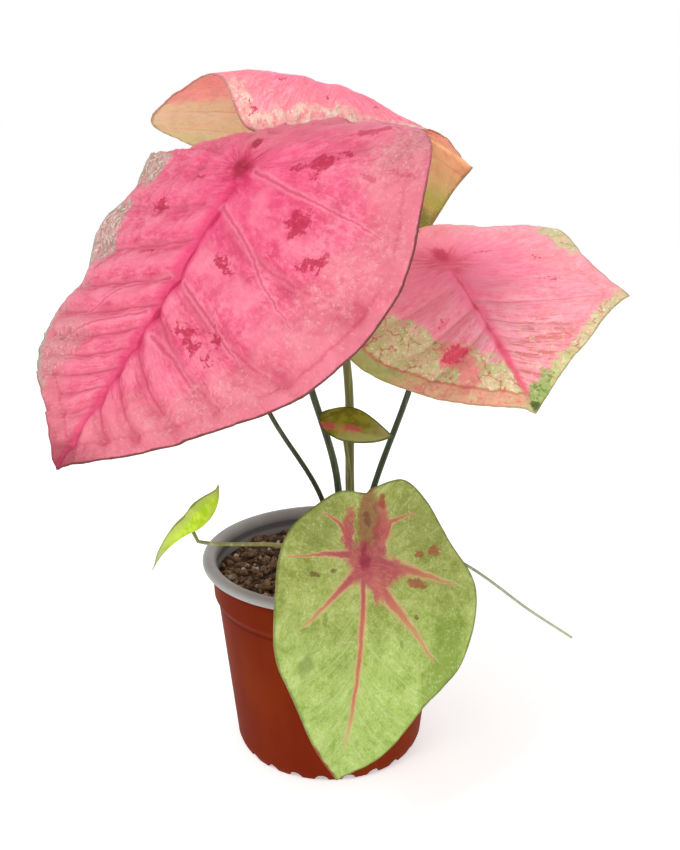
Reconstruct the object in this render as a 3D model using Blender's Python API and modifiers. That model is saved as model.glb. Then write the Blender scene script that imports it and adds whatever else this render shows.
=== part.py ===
"""A caladium in a 12 cm nursery pot, in metres, +Z up, origin at the middle of the pot's base.

The pot is a thin two-colour shell with a rolled rim and a notched foot. It is filled with soil,
and a tuber lies just under the surface. Every leaf is a stalk that stands on the tuber and a
thin blade on its end. Each blade is drawn flat, then bent, folded and waved by its own values.
"""

import math
import random

import bmesh
import bpy
from mathutils import Matrix, Vector

MM = 0.001
GAP = 0.3  # clearance between pieces that touch, in mm like every size below

# Pot
POT_HEIGHT = 97.0
RIM_RADIUS = 60.0
WALL_RADIUS_LOW = 45.0
WALL_TAPER = 0.108  # growth of the wall's radius per mm of height
WALL = 1.2
STEP_Z = 75.0  # crease below the wider collar
STEP_RISE = 4.0
COLLAR = 1.7  # how far the collar stands out over the wall
COLLAR_TAPER = 0.038
FLOOR_UNDER = 3.4
FOOT_INNER = 40.2
FOOT_OUTER = 43.4
NOTCHES = 22
NOTCH_RADIUS = 3.2
POT_SIDES = 44
DRAINS = 5
DRAIN_RADIUS = 4.0
DRAIN_CIRCLE = 25.0

# Soil and tuber
SOIL_Z = 85.0
SOIL_CROWN = 1.4  # how much higher the soil is in the middle
SOIL_SLOPE = (-0.02, 0.03)  # the soil's rise per mm along x and y
SOIL_ROUGHNESS = 1.1
SOIL_SEED = 11
CRUMBS = 170
CRUMB_REACH = 52.0
TUBER_AT = (9.0, -1.0, 67.0)
TUBER_SIZE = (20.0, 18.0, 14.0)  # half extents
TUBER_TOP = 78.0

# Blades: angles from the tip direction at which each half's radius is given
OUTLINE_ANGLES = (0, 12, 28, 50, 78, 105, 132, 155, 177, 180)
MIDRIB_SOFTNESS = 5.0

# Every blade: where its stalk joins it, the tip's heading, the downward pitch and the roll, how
# far the tip and the back lobes bend down, the reach of the lobes, and for each half the radii,
# the fold (lobe end, tip end) and the curl (lobe end, tip end). Positive folds and curls rise.
# A corner is the angle, the width in degrees and the height of a point of the margin.
# mesh gives the rings and the steps between two outline angles, and seat the first ring, which
# is a small circle round the stalk.
BLADES = {
    "Front": dict(
        at=(-31, -62, 277), heading=-148, pitch=55, roll=-26, tip_bend=-7, lobe_bend=66, back=41,
        left=dict(radii=(129, 115, 103, 99, 89, 76, 60, 41, 29, 27), fold=(21, -2), curl=(-27, -3)),
        right=dict(radii=(129, 113, 108, 102, 86, 74, 61, 43, 29, 27), fold=(-29, 9), curl=(11, -68),
                   scallop=(67, 28, 3)),
        wave=(1.2, 7), thickness=0.8, seat=3.0, mesh=(8, 3), colour=(0.80, 0.13, 0.22)),
    "Right": dict(
        at=(48.5, -28, 238.5), heading=-73, pitch=21, roll=5, tip_bend=11, lobe_bend=18, back=47,
        left=dict(radii=(94, 81, 74, 68, 57, 60, 64, 54, 38, 31), fold=(-10, 19), curl=(11, -14),
                  corner=(50, 7, 7.5)),
        right=dict(radii=(94, 85, 77, 71, 55, 45, 46, 44, 33, 31), fold=(7, -19), curl=(8, 0)),
        wave=(0.7, 6), thickness=0.8, seat=3.0, mesh=(8, 2), colour=(0.76, 0.19, 0.25)),
    "Top": dict(
        at=(-1, 23, 306), heading=108, pitch=29, roll=0, tip_bend=-2, lobe_bend=123, back=43,
        left=dict(radii=(125, 99, 93, 91, 70, 54, 59, 43, 39, 36), fold=(17, 22), curl=(-49, 5)),
        right=dict(radii=(125, 107, 93, 95, 76, 74, 57, 45, 39, 36), fold=(-15, -39), curl=(-15, -35)),
        wave=(0.7, 7), thickness=0.8, seat=3.0, mesh=(8, 2), colour=(0.80, 0.17, 0.26)),
    "Green": dict(
        at=(15, -77, 126), heading=-88, pitch=60, roll=-26, tip_bend=35, lobe_bend=-20, back=35,
        left=dict(radii=(91, 83, 67, 62, 53, 40, 38, 37, 29, 27), fold=(-1, 1), curl=(10, 1)),
        right=dict(radii=(91, 75, 61, 53, 42, 37, 32, 30, 27, 27), fold=(10, 9), curl=(-8, 4)),
        wave=(0.6, 6), thickness=0.7, seat=3.0, mesh=(8, 2), colour=(0.30, 0.42, 0.12)),
    "Hidden": dict(
        at=(-46, 4, 222), heading=170, pitch=34, roll=0, tip_bend=20, lobe_bend=25, back=26,
        left=dict(radii=(62, 56, 50, 44, 37, 34, 32, 27, 18, 16), fold=(-6, -12), curl=(-6, -10)),
        right=dict(radii=(62, 56, 50, 44, 37, 34, 32, 27, 18, 16), fold=(-6, -12), curl=(-6, -10)),
        wave=(0.6, 6), thickness=0.7, seat=2.5, mesh=(6, 2), colour=(0.74, 0.20, 0.26)),
    "Small": dict(
        at=(7, -30, 169), heading=-17, pitch=8, roll=25, tip_bend=5, lobe_bend=25, back=14,
        left=dict(radii=(22, 17, 14, 12, 11, 11, 12, 14, 12, 11), fold=(-2, 1), curl=(3, -4)),
        right=dict(radii=(22, 19, 16, 13, 11, 10, 10, 10, 12, 11), fold=(9, 0), curl=(5, -8)),
        wave=(0.2, 5), thickness=0.6, seat=1.5, mesh=(4, 2), colour=(0.22, 0.27, 0.08)),
    "Young": dict(
        at=(-60, -30, 119), heading=-179, pitch=24, roll=5, tip_bend=40, lobe_bend=-72, back=25,
        left=dict(radii=(27, 20, 14, 11, 10, 12, 16, 22, 26, 25), fold=(62, 55), curl=(21, 34)),
        right=dict(radii=(27, 20, 14, 11, 10, 12, 16, 21, 26, 25), fold=(60, 50), curl=(20, 30)),
        wave=(0.0, 1), thickness=0.6, seat=1.5, mesh=(4, 2), colour=(0.42, 0.62, 0.04)),
}

# Every stalk: its foot on the tuber, its radius at the foot and at the blade, and the points
# it passes. It leaves the soil upright and meets its blade square to the underside.
STALKS = {
    "Front": dict(foot=(5.5, -1.5), radii=(1.8, 1.3), reach=14, colour=(0.05, 0.07, 0.03),
                  way=((5.6, -3, 112), (2.8, -7, 142), (-7.5, -13, 180), (-18, -28, 225))),
    "Right": dict(foot=(16.0, -1.5), radii=(1.6, 1.2), reach=12, colour=(0.07, 0.09, 0.03),
                  way=((16.8, -2, 105), (20.5, -3, 128), (35.5, -7, 175), (45, -8, 208))),
    "Top": dict(foot=(10.5, 4.0), radii=(2.3, 1.6), reach=14, colour=(0.17, 0.18, 0.03),
                way=((10, 4, 127), (8, 3, 190), (-3, 5, 224), (-7, 9, 250))),
    "Green": dict(foot=(12.1, -7.6), radii=(1.7, 1.4), reach=12, colour=(0.16, 0.20, 0.05),
                  way=((12, -18, 114), (14, -42, 124))),
    "Hidden": dict(foot=(2.5, 4.5), radii=(1.3, 1.0), reach=10, colour=(0.05, 0.08, 0.03),
                   way=((1, 4, 106), (-6, 3, 128), (-26.5, 2, 163), (-38, 1, 192))),
    "Small": dict(foot=(7.6, -8.0), radii=(1.1, 0.8), reach=6, colour=(0.16, 0.18, 0.05),
                  way=((8.5, -13, 112), (9.5, -24, 142))),
    "Young": dict(foot=(1.0, -5.0), radii=(1.1, 0.8), reach=5, colour=(0.52, 0.52, 0.20),
                  way=((-7, -12, 101), (-24, -20, 108), (-45, -26, 111))),
}
SPENT_STALK = dict(foot=(17.5, 4.0), radii=(0.8, 0.6), colour=(0.36, 0.40, 0.24),
                   way=((22, 2, 96), (38, -7, 101), (56, -14, 99.5), (70, -20, 93.5),
                        (92, -22, 77), (114, -20, 61)))
UPRIGHT = (2.0, 6.0, 10.0)  # heights over the foot at which a stalk is still plumb
STALK_STEP = 11.0  # longest straight piece of a stalk


def blend(low, high, part):
    return low + (high - low) * part


def smooth_step(t):
    """Runs from 0 to 1 like t, but crowds towards both ends."""
    return t * t * (3 - 2 * t)


def through(points, step=None, steps=1):
    """Points on a smooth curve that passes through the given ones.

    Each stretch gets the given number of steps, or as many as keep them shorter than step.
    """
    points = [Vector(p) for p in points]
    ends = [2 * points[0] - points[1]] + points + [2 * points[-1] - points[-2]]
    found = []
    for a, b, c, d in zip(ends, ends[1:], ends[2:], ends[3:]):
        before, here, after = (b - a).length, (c - b).length, (d - c).length
        slope_b, slope_c = (c - a) * here / (before + here), (d - b) * here / (here + after)
        count = math.ceil(here / step) if step else steps
        for i in range(count):
            t = i / count
            found.append(
                b * (2 * t**3 - 3 * t**2 + 1) + slope_b * (t**3 - 2 * t**2 + t)
                + c * (3 * t**2 - 2 * t**3) + slope_c * (t**3 - t**2))
    return found + [points[-1]]


# Blades


def half_outline(blade, side):
    sign = 1 if side == "left" else -1
    half = blade[side]
    points = [(r * math.cos(math.radians(a)), r * math.sin(math.radians(a)), 0.0)
              for a, r in zip(OUTLINE_ANGLES, half["radii"])]
    points = through(points[:-1], steps=blade["mesh"][1]) + [Vector(points[-1])]
    if "scallop" in half:
        points = [p + p.normalized() * scallop(p.x, p.y, *half["scallop"]) for p in points]
    if "corner" in half:
        points = [p + p.normalized() * corner(p, *half["corner"]) for p in points]
    return [Vector((point.x, sign * point.y)) for point in points]


def scallop(x, y, middle, period, depth):
    """A wave of the margin along the angle from the tip, which fades away from its middle."""
    angle = math.degrees(math.atan2(y, x)) - middle
    return depth * math.exp(-((angle / period) ** 2)) * math.cos(2 * math.pi * angle / period)


def corner(point, middle, width, height):
    """A pointed corner of the margin at the angle middle from the tip."""
    away = abs(math.degrees(math.atan2(point.y, point.x)) - middle)
    return height * math.exp(-away / width)


def outline(blade):
    """The flat outline from the notch between the lobes, round the left half to the tip, and back."""
    left, right = half_outline(blade, "left"), half_outline(blade, "right")
    return left[::-1] + right[1:]


def turn(blade):
    return (Matrix.Rotation(math.radians(blade["heading"]), 3, "Z")
            @ Matrix.Rotation(math.radians(blade["pitch"]), 3, "Y")
            @ Matrix.Rotation(math.radians(blade["roll"]), 3, "X"))


def along_arc(length, bend):
    """How far forward and down a strip reaches when its curvature is bend, in radians per mm."""
    if abs(bend) < 1e-6:
        return length, 0.0
    return math.sin(bend * length) / bend, (1 - math.cos(bend * length)) / bend


def blade_point(blade, x, y, edge=0.0, round_edge=0.0):
    """Where the flat point x, y lies on the bent blade. edge runs from 0 at the stalk to 1."""
    tip, back = blade["left"]["radii"][0], blade["back"]
    if x >= 0:
        bend = math.radians(blade["tip_bend"]) / tip
        forward, down = along_arc(x, bend)
        slope = -bend * x
    else:
        bend = math.radians(blade["lobe_bend"]) / back
        forward, down = along_arc(-x, bend)
        forward, slope = -forward, bend * -x
    half = blade["left" if y >= 0 else "right"]
    part = min(max((x + back) / (tip + back), 0.0), 1.0)
    fold = math.radians(blend(*half["fold"], part))
    curl = math.radians(blend(*half["curl"], part)) / half["radii"][4]
    if abs(curl) < 1e-6:
        curl = 1e-6
    v = abs(y)
    across = (math.sin(fold + curl * v) - math.sin(fold)) / curl
    rise = (math.cos(fold) - math.cos(fold + curl * v)) / curl
    rise *= v * v / (v * v + MIDRIB_SOFTNESS**2)
    height, count = blade["wave"]
    rise += height * edge**3 * math.sin(2 * math.pi * count * round_edge)
    if "scallop" in half:
        rise += edge**3 * scallop(x, v, *half["scallop"])
    across = across if y >= 0 else -across
    local = Vector((forward - math.sin(slope) * rise, across, -down + math.cos(slope) * rise))
    return turn(blade) @ local + Vector(blade["at"])


def make_blade(name, blade):
    rim = outline(blade)
    rings, spokes = blade["mesh"][0], len(rim) - 1
    bm = bmesh.new()
    bmesh.ops.create_grid(bm, x_segments=rings, y_segments=spokes, size=1)
    for vertex in bm.verts:
        ring = round((vertex.co.x + 1) / 2 * rings)
        spoke = round((vertex.co.y + 1) / 2 * spokes)
        seat, reach = rim[spoke].normalized() * blade["seat"], rim[spoke]
        out = smooth_step(max(ring - 1, 0) / (rings - 1))
        x, y = seat.lerp(reach, out) if ring else (0, 0)
        vertex.co = blade_point(blade, x, y, out, spoke / spokes) * MM
    bmesh.ops.remove_doubles(bm, verts=bm.verts, dist=0.000001)
    bmesh.ops.triangulate(bm, faces=bm.faces, quad_method="SHORT_EDGE")
    up = turn(blade) @ Vector((0, 0, 1))
    near = min(bm.faces, key=lambda f: (f.calc_center_median() / MM - Vector(blade["at"])).length)
    if near.normal.dot(up) < 0:
        bmesh.ops.reverse_faces(bm, faces=bm.faces)
    obj = add(name, bm, blade["colour"], roughness=0.45)
    solid = obj.modifiers.new("Thickness", "SOLIDIFY")
    solid.thickness = blade["thickness"] * MM
    solid.offset = -1
    return obj


# Stalks


def make_stalk(name, stalk, blade=None):
    foot = Vector((*stalk["foot"], TUBER_TOP + GAP))
    path = [foot] + [foot + Vector((0, 0, z)) for z in UPRIGHT] + [Vector(p) for p in stalk["way"]]
    if blade:
        out = turn(blade) @ Vector((0, 0, 1))
        end = Vector(blade["at"]) - out * (blade["thickness"] + GAP + 0.15)
        path += [end - out * stalk["reach"], end - out * 2.5, end]
    points = through(path, step=STALK_STEP)
    curve = bpy.data.curves.new(name, "CURVE")
    curve.dimensions = "3D"
    curve.bevel_depth = MM
    curve.bevel_resolution = 2
    curve.use_fill_caps = True
    spline = curve.splines.new("POLY")
    spline.points.add(len(points) - 1)
    for i, (point, at) in enumerate(zip(spline.points, points)):
        point.co = (*(at * MM), 1)
        point.radius = blend(*stalk["radii"], i / (len(points) - 1))
    obj = bpy.data.objects.new(name, curve)
    return finish(obj, stalk["colour"], roughness=0.5)


# Pot


def wall_radius(z):
    radius = WALL_RADIUS_LOW + WALL_TAPER * min(z, STEP_Z)
    if z > STEP_Z:
        radius += COLLAR_TAPER * (z - STEP_Z) + COLLAR * min((z - STEP_Z) / STEP_RISE, 1)
    return radius


def pot_profile():
    """Down the outside from the inner floor's centre, over the rim, to the underside's centre."""
    step_top = STEP_Z + STEP_RISE
    inside = [(z, wall_radius(z) - WALL) for z in (9, STEP_Z, step_top, POT_HEIGHT - 6)]
    outside = [(z, wall_radius(z)) for z in (POT_HEIGHT - 5.5, step_top, STEP_Z, 40, 4)]
    r, top = RIM_RADIUS, POT_HEIGHT
    rim = [(top - 2.4, r - 6.2), (top - 0.8, r - 5.4), (top, r - 3.8), (top, r - 1.8),
           (top - 0.7, r - 0.5), (top - 2.2, r), (top - 3.6, r - 0.2), (top - 4.2, r - 1.0),
           (top - 4.0, r - 3.0)]
    foot = [(1.2, FOOT_OUTER + 0.9), (0.0, FOOT_OUTER), (0.0, FOOT_INNER), (2.8, FOOT_INNER - 0.4),
            (FLOOR_UNDER, FOOT_INNER - 1.6), (FLOOR_UNDER, 0.0)]
    floor = [(FLOOR_UNDER + WALL, 0.0), (FLOOR_UNDER + WALL, FOOT_INNER), (FLOOR_UNDER + 2, 43.2)]
    return floor + inside + rim + outside + foot


def make_pot():
    bm = bmesh.new()
    before = None
    for z, radius in pot_profile():
        vertex = bm.verts.new((radius * MM, 0, z * MM))
        if before:
            bm.edges.new((before, vertex))
        before = vertex
    obj = add("Pot", bm, (0.36, 0.075, 0.02), roughness=0.4, smooth=False)
    screw = obj.modifiers.new("Turn", "SCREW")
    screw.steps = screw.render_steps = POT_SIDES
    screw.angle = 2 * math.pi
    screw.use_merge_vertices = True
    screw.merge_threshold = 0.00005
    cut(obj, "Foot notches", notch_cutter())
    cut(obj, "Drain holes", drain_cutter())
    bake(obj)
    inner = material("Pot inside and rim", (0.62, 0.62, 0.60), 0.35)
    obj.data.materials.append(inner)
    for face in obj.data.polygons:
        face.material_index = int(is_inside(face.center / MM, face.normal))
    return obj


def is_inside(centre, normal):
    """True on the rolled rim and on the faces that look into the pot."""
    out = Vector((centre.x, centre.y))
    if centre.z > POT_HEIGHT - 4.6:
        return True
    inward = normal.x * out.x + normal.y * out.y < -0.5 * out.length
    return centre.z > FLOOR_UNDER + 0.6 and (inward or normal.z > 0.9)


def notch_cutter():
    bm = bmesh.new()
    for i in range(NOTCHES):
        place = (Matrix.Rotation(2 * math.pi * (i + 0.25) / NOTCHES, 4, "Z")
                 @ Matrix.Translation((42.5 * MM, 0, 0)) @ Matrix.Rotation(math.pi / 2, 4, "Y"))
        rod(bm, place, NOTCH_RADIUS, 10, 12)
    return cutter("Cutter foot notches", bm)


def drain_cutter():
    bm = bmesh.new()
    spots = [(DRAIN_CIRCLE * math.cos(2 * math.pi * i / DRAINS),
              DRAIN_CIRCLE * math.sin(2 * math.pi * i / DRAINS)) for i in range(DRAINS)]
    for x, y in spots + [(0.0, 0.0)]:
        rod(bm, Matrix.Translation(Vector((x, y, FLOOR_UNDER)) * MM), DRAIN_RADIUS, 8, 16)
    return cutter("Cutter drain holes", bm)


# Soil and tuber


def crumbs():
    """Lumps of soil: each has a place, a width and a height."""
    rule = random.Random(SOIL_SEED)
    return [(rule.uniform(-CRUMB_REACH, CRUMB_REACH), rule.uniform(-CRUMB_REACH, CRUMB_REACH),
             rule.uniform(2.5, 6.0), rule.uniform(-0.8, 1.0)) for _ in range(CRUMBS)]


def soil_height(x, y, lumps):
    edge = min(math.hypot(x, y) / CRUMB_REACH, 1)
    height = SOIL_Z + SOIL_CROWN * (1 - edge**2) - edge**6
    height += SOIL_SLOPE[0] * x + SOIL_SLOPE[1] * y
    for at_x, at_y, width, rise in lumps:
        away = ((x - at_x) ** 2 + (y - at_y) ** 2) / width**2
        height += SOIL_ROUGHNESS * rise * math.exp(-2 * away)
    return height


def make_soil():
    lumps = crumbs()
    low = FLOOR_UNDER + WALL + GAP
    side = [(low, 0.0), (low, FOOT_INNER - 1), (9, wall_radius(9) - WALL - GAP)]
    side += [(z, wall_radius(z) - WALL - GAP) for z in (40, STEP_Z, STEP_Z + STEP_RISE)]
    brim = wall_radius(SOIL_Z) - WALL - GAP
    rings = [brim * (1 - i / 12) for i in range(13)]
    rows = len(side) + len(rings)
    bm = bmesh.new()
    bmesh.ops.create_grid(bm, x_segments=rows - 1, y_segments=POT_SIDES, size=1)
    for vertex in bm.verts:
        row = round((vertex.co.x + 1) / 2 * (rows - 1))
        angle = 2 * math.pi * round((vertex.co.y + 1) / 2 * POT_SIDES) / POT_SIDES
        if row < len(side):
            z, radius = side[row]
        else:
            radius = rings[row - len(side)]
            z = soil_height(radius * math.cos(angle), radius * math.sin(angle), lumps)
        vertex.co = Vector((radius * math.cos(angle), radius * math.sin(angle), z)) * MM
    bmesh.ops.remove_doubles(bm, verts=bm.verts, dist=0.00001)
    bmesh.ops.recalc_face_normals(bm, faces=bm.faces)
    bmesh.ops.triangulate(bm, faces=bm.faces)
    obj = add("Soil", bm, (0.06, 0.04, 0.025), roughness=0.95, smooth=False)
    cut(obj, "Tuber pocket", cutter("Cutter tuber pocket", tuber_mesh(0.35)))
    cut(obj, "Stalk holes", stalk_hole_cutter())
    bake(obj)
    return obj


def stalk_hole_cutter():
    bm = bmesh.new()
    for stalk in list(STALKS.values()) + [SPENT_STALK]:
        x, y = stalk["foot"]
        place = Matrix.Translation(Vector((x, y, TUBER_TOP + 6)) * MM)
        rod(bm, place, stalk["radii"][0] + 0.4, 15, 12)
    return cutter("Cutter stalk holes", bm)


def tuber_mesh(grow=0.0):
    bm = bmesh.new()
    bmesh.ops.create_uvsphere(bm, u_segments=20, v_segments=12, radius=1)
    for vertex in bm.verts:
        x, y, z = vertex.co
        lump = 1 + 0.05 * math.sin(3 * math.atan2(y, x) + 4 * z) * math.hypot(x, y)
        size = [half * lump + grow for half in TUBER_SIZE]
        at = Vector(TUBER_AT) + Vector((x * size[0], y * size[1], z * size[2]))
        at.z = min(at.z, TUBER_TOP + grow)
        vertex.co = at * MM
    flat = [f for f in bm.faces if all(abs(v.co.z / MM - TUBER_TOP - grow) < 1e-4 for v in f.verts)]
    bmesh.ops.dissolve_faces(bm, faces=flat)
    bmesh.ops.triangulate(bm, faces=bm.faces)
    return bm


# Helpers


def material(name, colour, roughness):
    made = bpy.data.materials.new(name)
    made.use_nodes = True
    shader = made.node_tree.nodes["Principled BSDF"]
    shader.inputs["Base Color"].default_value = (*colour, 1)
    shader.inputs["Roughness"].default_value = roughness
    shader.inputs["Metallic"].default_value = 0.0
    made.diffuse_color = (*colour, 1)
    return made


def finish(obj, colour, roughness):
    obj.data.materials.append(material(obj.name, colour, roughness))
    PLANT.objects.link(obj)
    return obj


def add(name, bm, colour, roughness, smooth=True):
    mesh = bpy.data.meshes.new(name)
    bm.to_mesh(mesh)
    bm.free()
    if smooth:
        mesh.shade_smooth()
    return finish(bpy.data.objects.new(name, mesh), colour, roughness)


def rod(bm, place, radius, length, sides):
    bmesh.ops.create_cone(
        bm, cap_ends=True, segments=sides, radius1=radius * MM, radius2=radius * MM,
        depth=length * MM, matrix=place)


def cutter(name, bm):
    mesh = bpy.data.meshes.new(name)
    bm.to_mesh(mesh)
    bm.free()
    obj = bpy.data.objects.new(name, mesh)
    obj.hide_render = True
    obj.display_type = "WIRE"
    CUTTERS.objects.link(obj)
    return obj


def cut(obj, name, tool):
    modifier = obj.modifiers.new(name, "BOOLEAN")
    modifier.operation = "DIFFERENCE"
    modifier.solver = "EXACT"
    modifier.object = tool


def bake(obj):
    """Replaces the object's mesh by the one its modifiers make."""
    bpy.context.view_layer.update()
    graph = bpy.context.evaluated_depsgraph_get()
    mesh = bpy.data.meshes.new_from_object(obj.evaluated_get(graph))
    obj.modifiers.clear()
    obj.data = mesh


def collection(name):
    made = bpy.data.collections.new(name)
    bpy.context.scene.collection.children.link(made)
    return made


for leftover in list(bpy.data.objects):
    bpy.data.objects.remove(leftover)
PLANT = collection("Potted caladium")
CUTTERS = collection("Cutters")

make_pot()
make_soil()
add("Tuber", tuber_mesh(), (0.16, 0.09, 0.05), roughness=0.9)
for kind, values in BLADES.items():
    make_blade("Blade_" + kind, values)
    make_stalk("Stalk_" + kind, STALKS[kind], values)
make_stalk("Stalk_Spent", SPENT_STALK)
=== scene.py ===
"""The looks of the potted caladium: fine leaves with veins and markings, pot, soil and stalks.

Sizes are in millimetres and are turned into metres when a mesh is made. A leaf is worked out on
its flat outline, x towards the tip and y to the leaf's own left, and then bent to its real form.
"""

import math
import random

import bmesh
import bpy
import numpy as np
from mathutils import Matrix, Vector, noise


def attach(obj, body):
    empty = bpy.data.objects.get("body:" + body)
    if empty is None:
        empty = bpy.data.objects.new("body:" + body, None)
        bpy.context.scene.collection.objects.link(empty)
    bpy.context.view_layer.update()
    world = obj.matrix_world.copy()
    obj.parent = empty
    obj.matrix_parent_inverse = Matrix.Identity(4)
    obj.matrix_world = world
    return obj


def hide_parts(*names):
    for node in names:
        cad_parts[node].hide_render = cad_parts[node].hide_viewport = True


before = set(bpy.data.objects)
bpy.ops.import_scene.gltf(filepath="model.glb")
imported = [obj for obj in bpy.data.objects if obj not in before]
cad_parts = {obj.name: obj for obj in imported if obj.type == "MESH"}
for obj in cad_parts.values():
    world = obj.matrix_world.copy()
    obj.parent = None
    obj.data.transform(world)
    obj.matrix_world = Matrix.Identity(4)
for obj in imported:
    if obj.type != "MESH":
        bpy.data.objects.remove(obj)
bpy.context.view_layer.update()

MM = 0.001
FLAT_SPAN = 300.0  # width of the flat sheet that a leaf's UV map covers, in mm

# Camera: place, downward tilt in degrees and focal length in pixels of the 680 x 850 picture
CAMERA_AT = (5.3, -450.0, 295.0)
CAMERA_TILT = 16.8
FOCAL_PIXELS = 1021.0
PICTURE_HEIGHT = 850.0
SENSOR_MM = 36.0

# Pot
POT_HEIGHT = 97.0
RIM_RADIUS = 60.0
WALL_RADIUS_LOW = 45.0
WALL_TAPER = 0.108  # growth of the wall's radius per mm of height
WALL = 1.2
STEP_Z = 75.0  # crease below the wider collar
STEP_RISE = 4.0
COLLAR = 1.7  # how far the collar stands out over the wall
COLLAR_TAPER = 0.038
LIP = 4.6  # depth of the rim's light outer face and underside
LIGHT_FLOOR = 0.8  # how far over the underside the light inner face begins
FOLD_Z = 90.5  # height of the painted shade in the fold inside, under the rim
FLOOR_UNDER = 3.4
FOOT_INNER = 40.2
FOOT_OUTER = 43.4
NOTCHES = 22
NOTCH_RADIUS = 3.2
NOTCH_CIRCLE = 42.5
DRAINS = 5
DRAIN_RADIUS = 4.0
DRAIN_CIRCLE = 25.0
POT_SIDES = 176

# Soil
SOIL_Z = 85.0
SOIL_CROWN = 1.4  # how much higher the soil is in the middle
SOIL_SLOPE = (-0.02, 0.03)  # the soil's rise per mm along x and y
SOIL_REACH = 52.0
# Unevenness of the soil: its grain in mm, its seed and its height
SOIL_BUMPS = ((9, 3.0, 1.2), (3.2, 9.0, 0.9), (1.2, 5.0, 0.35))
SOIL_RINGS = 70
SOIL_SIDES = 240
GAP = 0.3  # clearance between pieces that touch
TUBER_TOP = 78.0

# Light: the brightness overhead and at the horizon, what a white level surface gets in all, and the
# sheen that lies on every surface. A colour as on screen is turned into paint with the last two.
SKY = 0.62
HORIZON = 1.0
LIGHT = 1.08
SHEEN = 0.015
FLOOR_GLOW = 0.36
FLOOR_HALF = 40.0  # in metres

# Blades: the angles from the tip at which an outline's radii are given, which of them is at the
# blade's widest, and how far beside the midrib its fold is rounded off
OUTLINE_ANGLES = (0, 12, 28, 50, 78, 105, 132, 155, 177, 180)
WIDEST = 4
MIDRIB_SOFTNESS = 5.0
MARGIN_VEIN = 7.0  # how far inside the margin the vein that follows it runs
END_SPACING = 12.0  # spacing of the side veins before the first and after the last
NUDGE = 0.05  # step for the slope of a blade, in mm

# What both halves of a blade share, in the form that BLADES explains
HIDDEN_HALF = dict(
    radii=(62, 56, 50, 44, 37, 34, 32, 27, 18, 16), fold=(-6, -12), curl=(-6, -10),
    veins=((0, -18, 20, 0), (0, 0, 33, 2), (10, 20, 35, 3), (22, 34, 30, 2), (33, 45, 19, 2),
           (44, 54, 10, 1)))
SMALL_VEINS = ((0, -8, 8, 0), (1, 4, 11, 1), (7, 12, 9, 1), (13, 18, 5, 0))
YOUNG_VEINS = ((0, -14, 7, 0), (1, 4, 9, 1), (8, 13, 9, 1), (15, 20, 5, 0))

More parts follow.
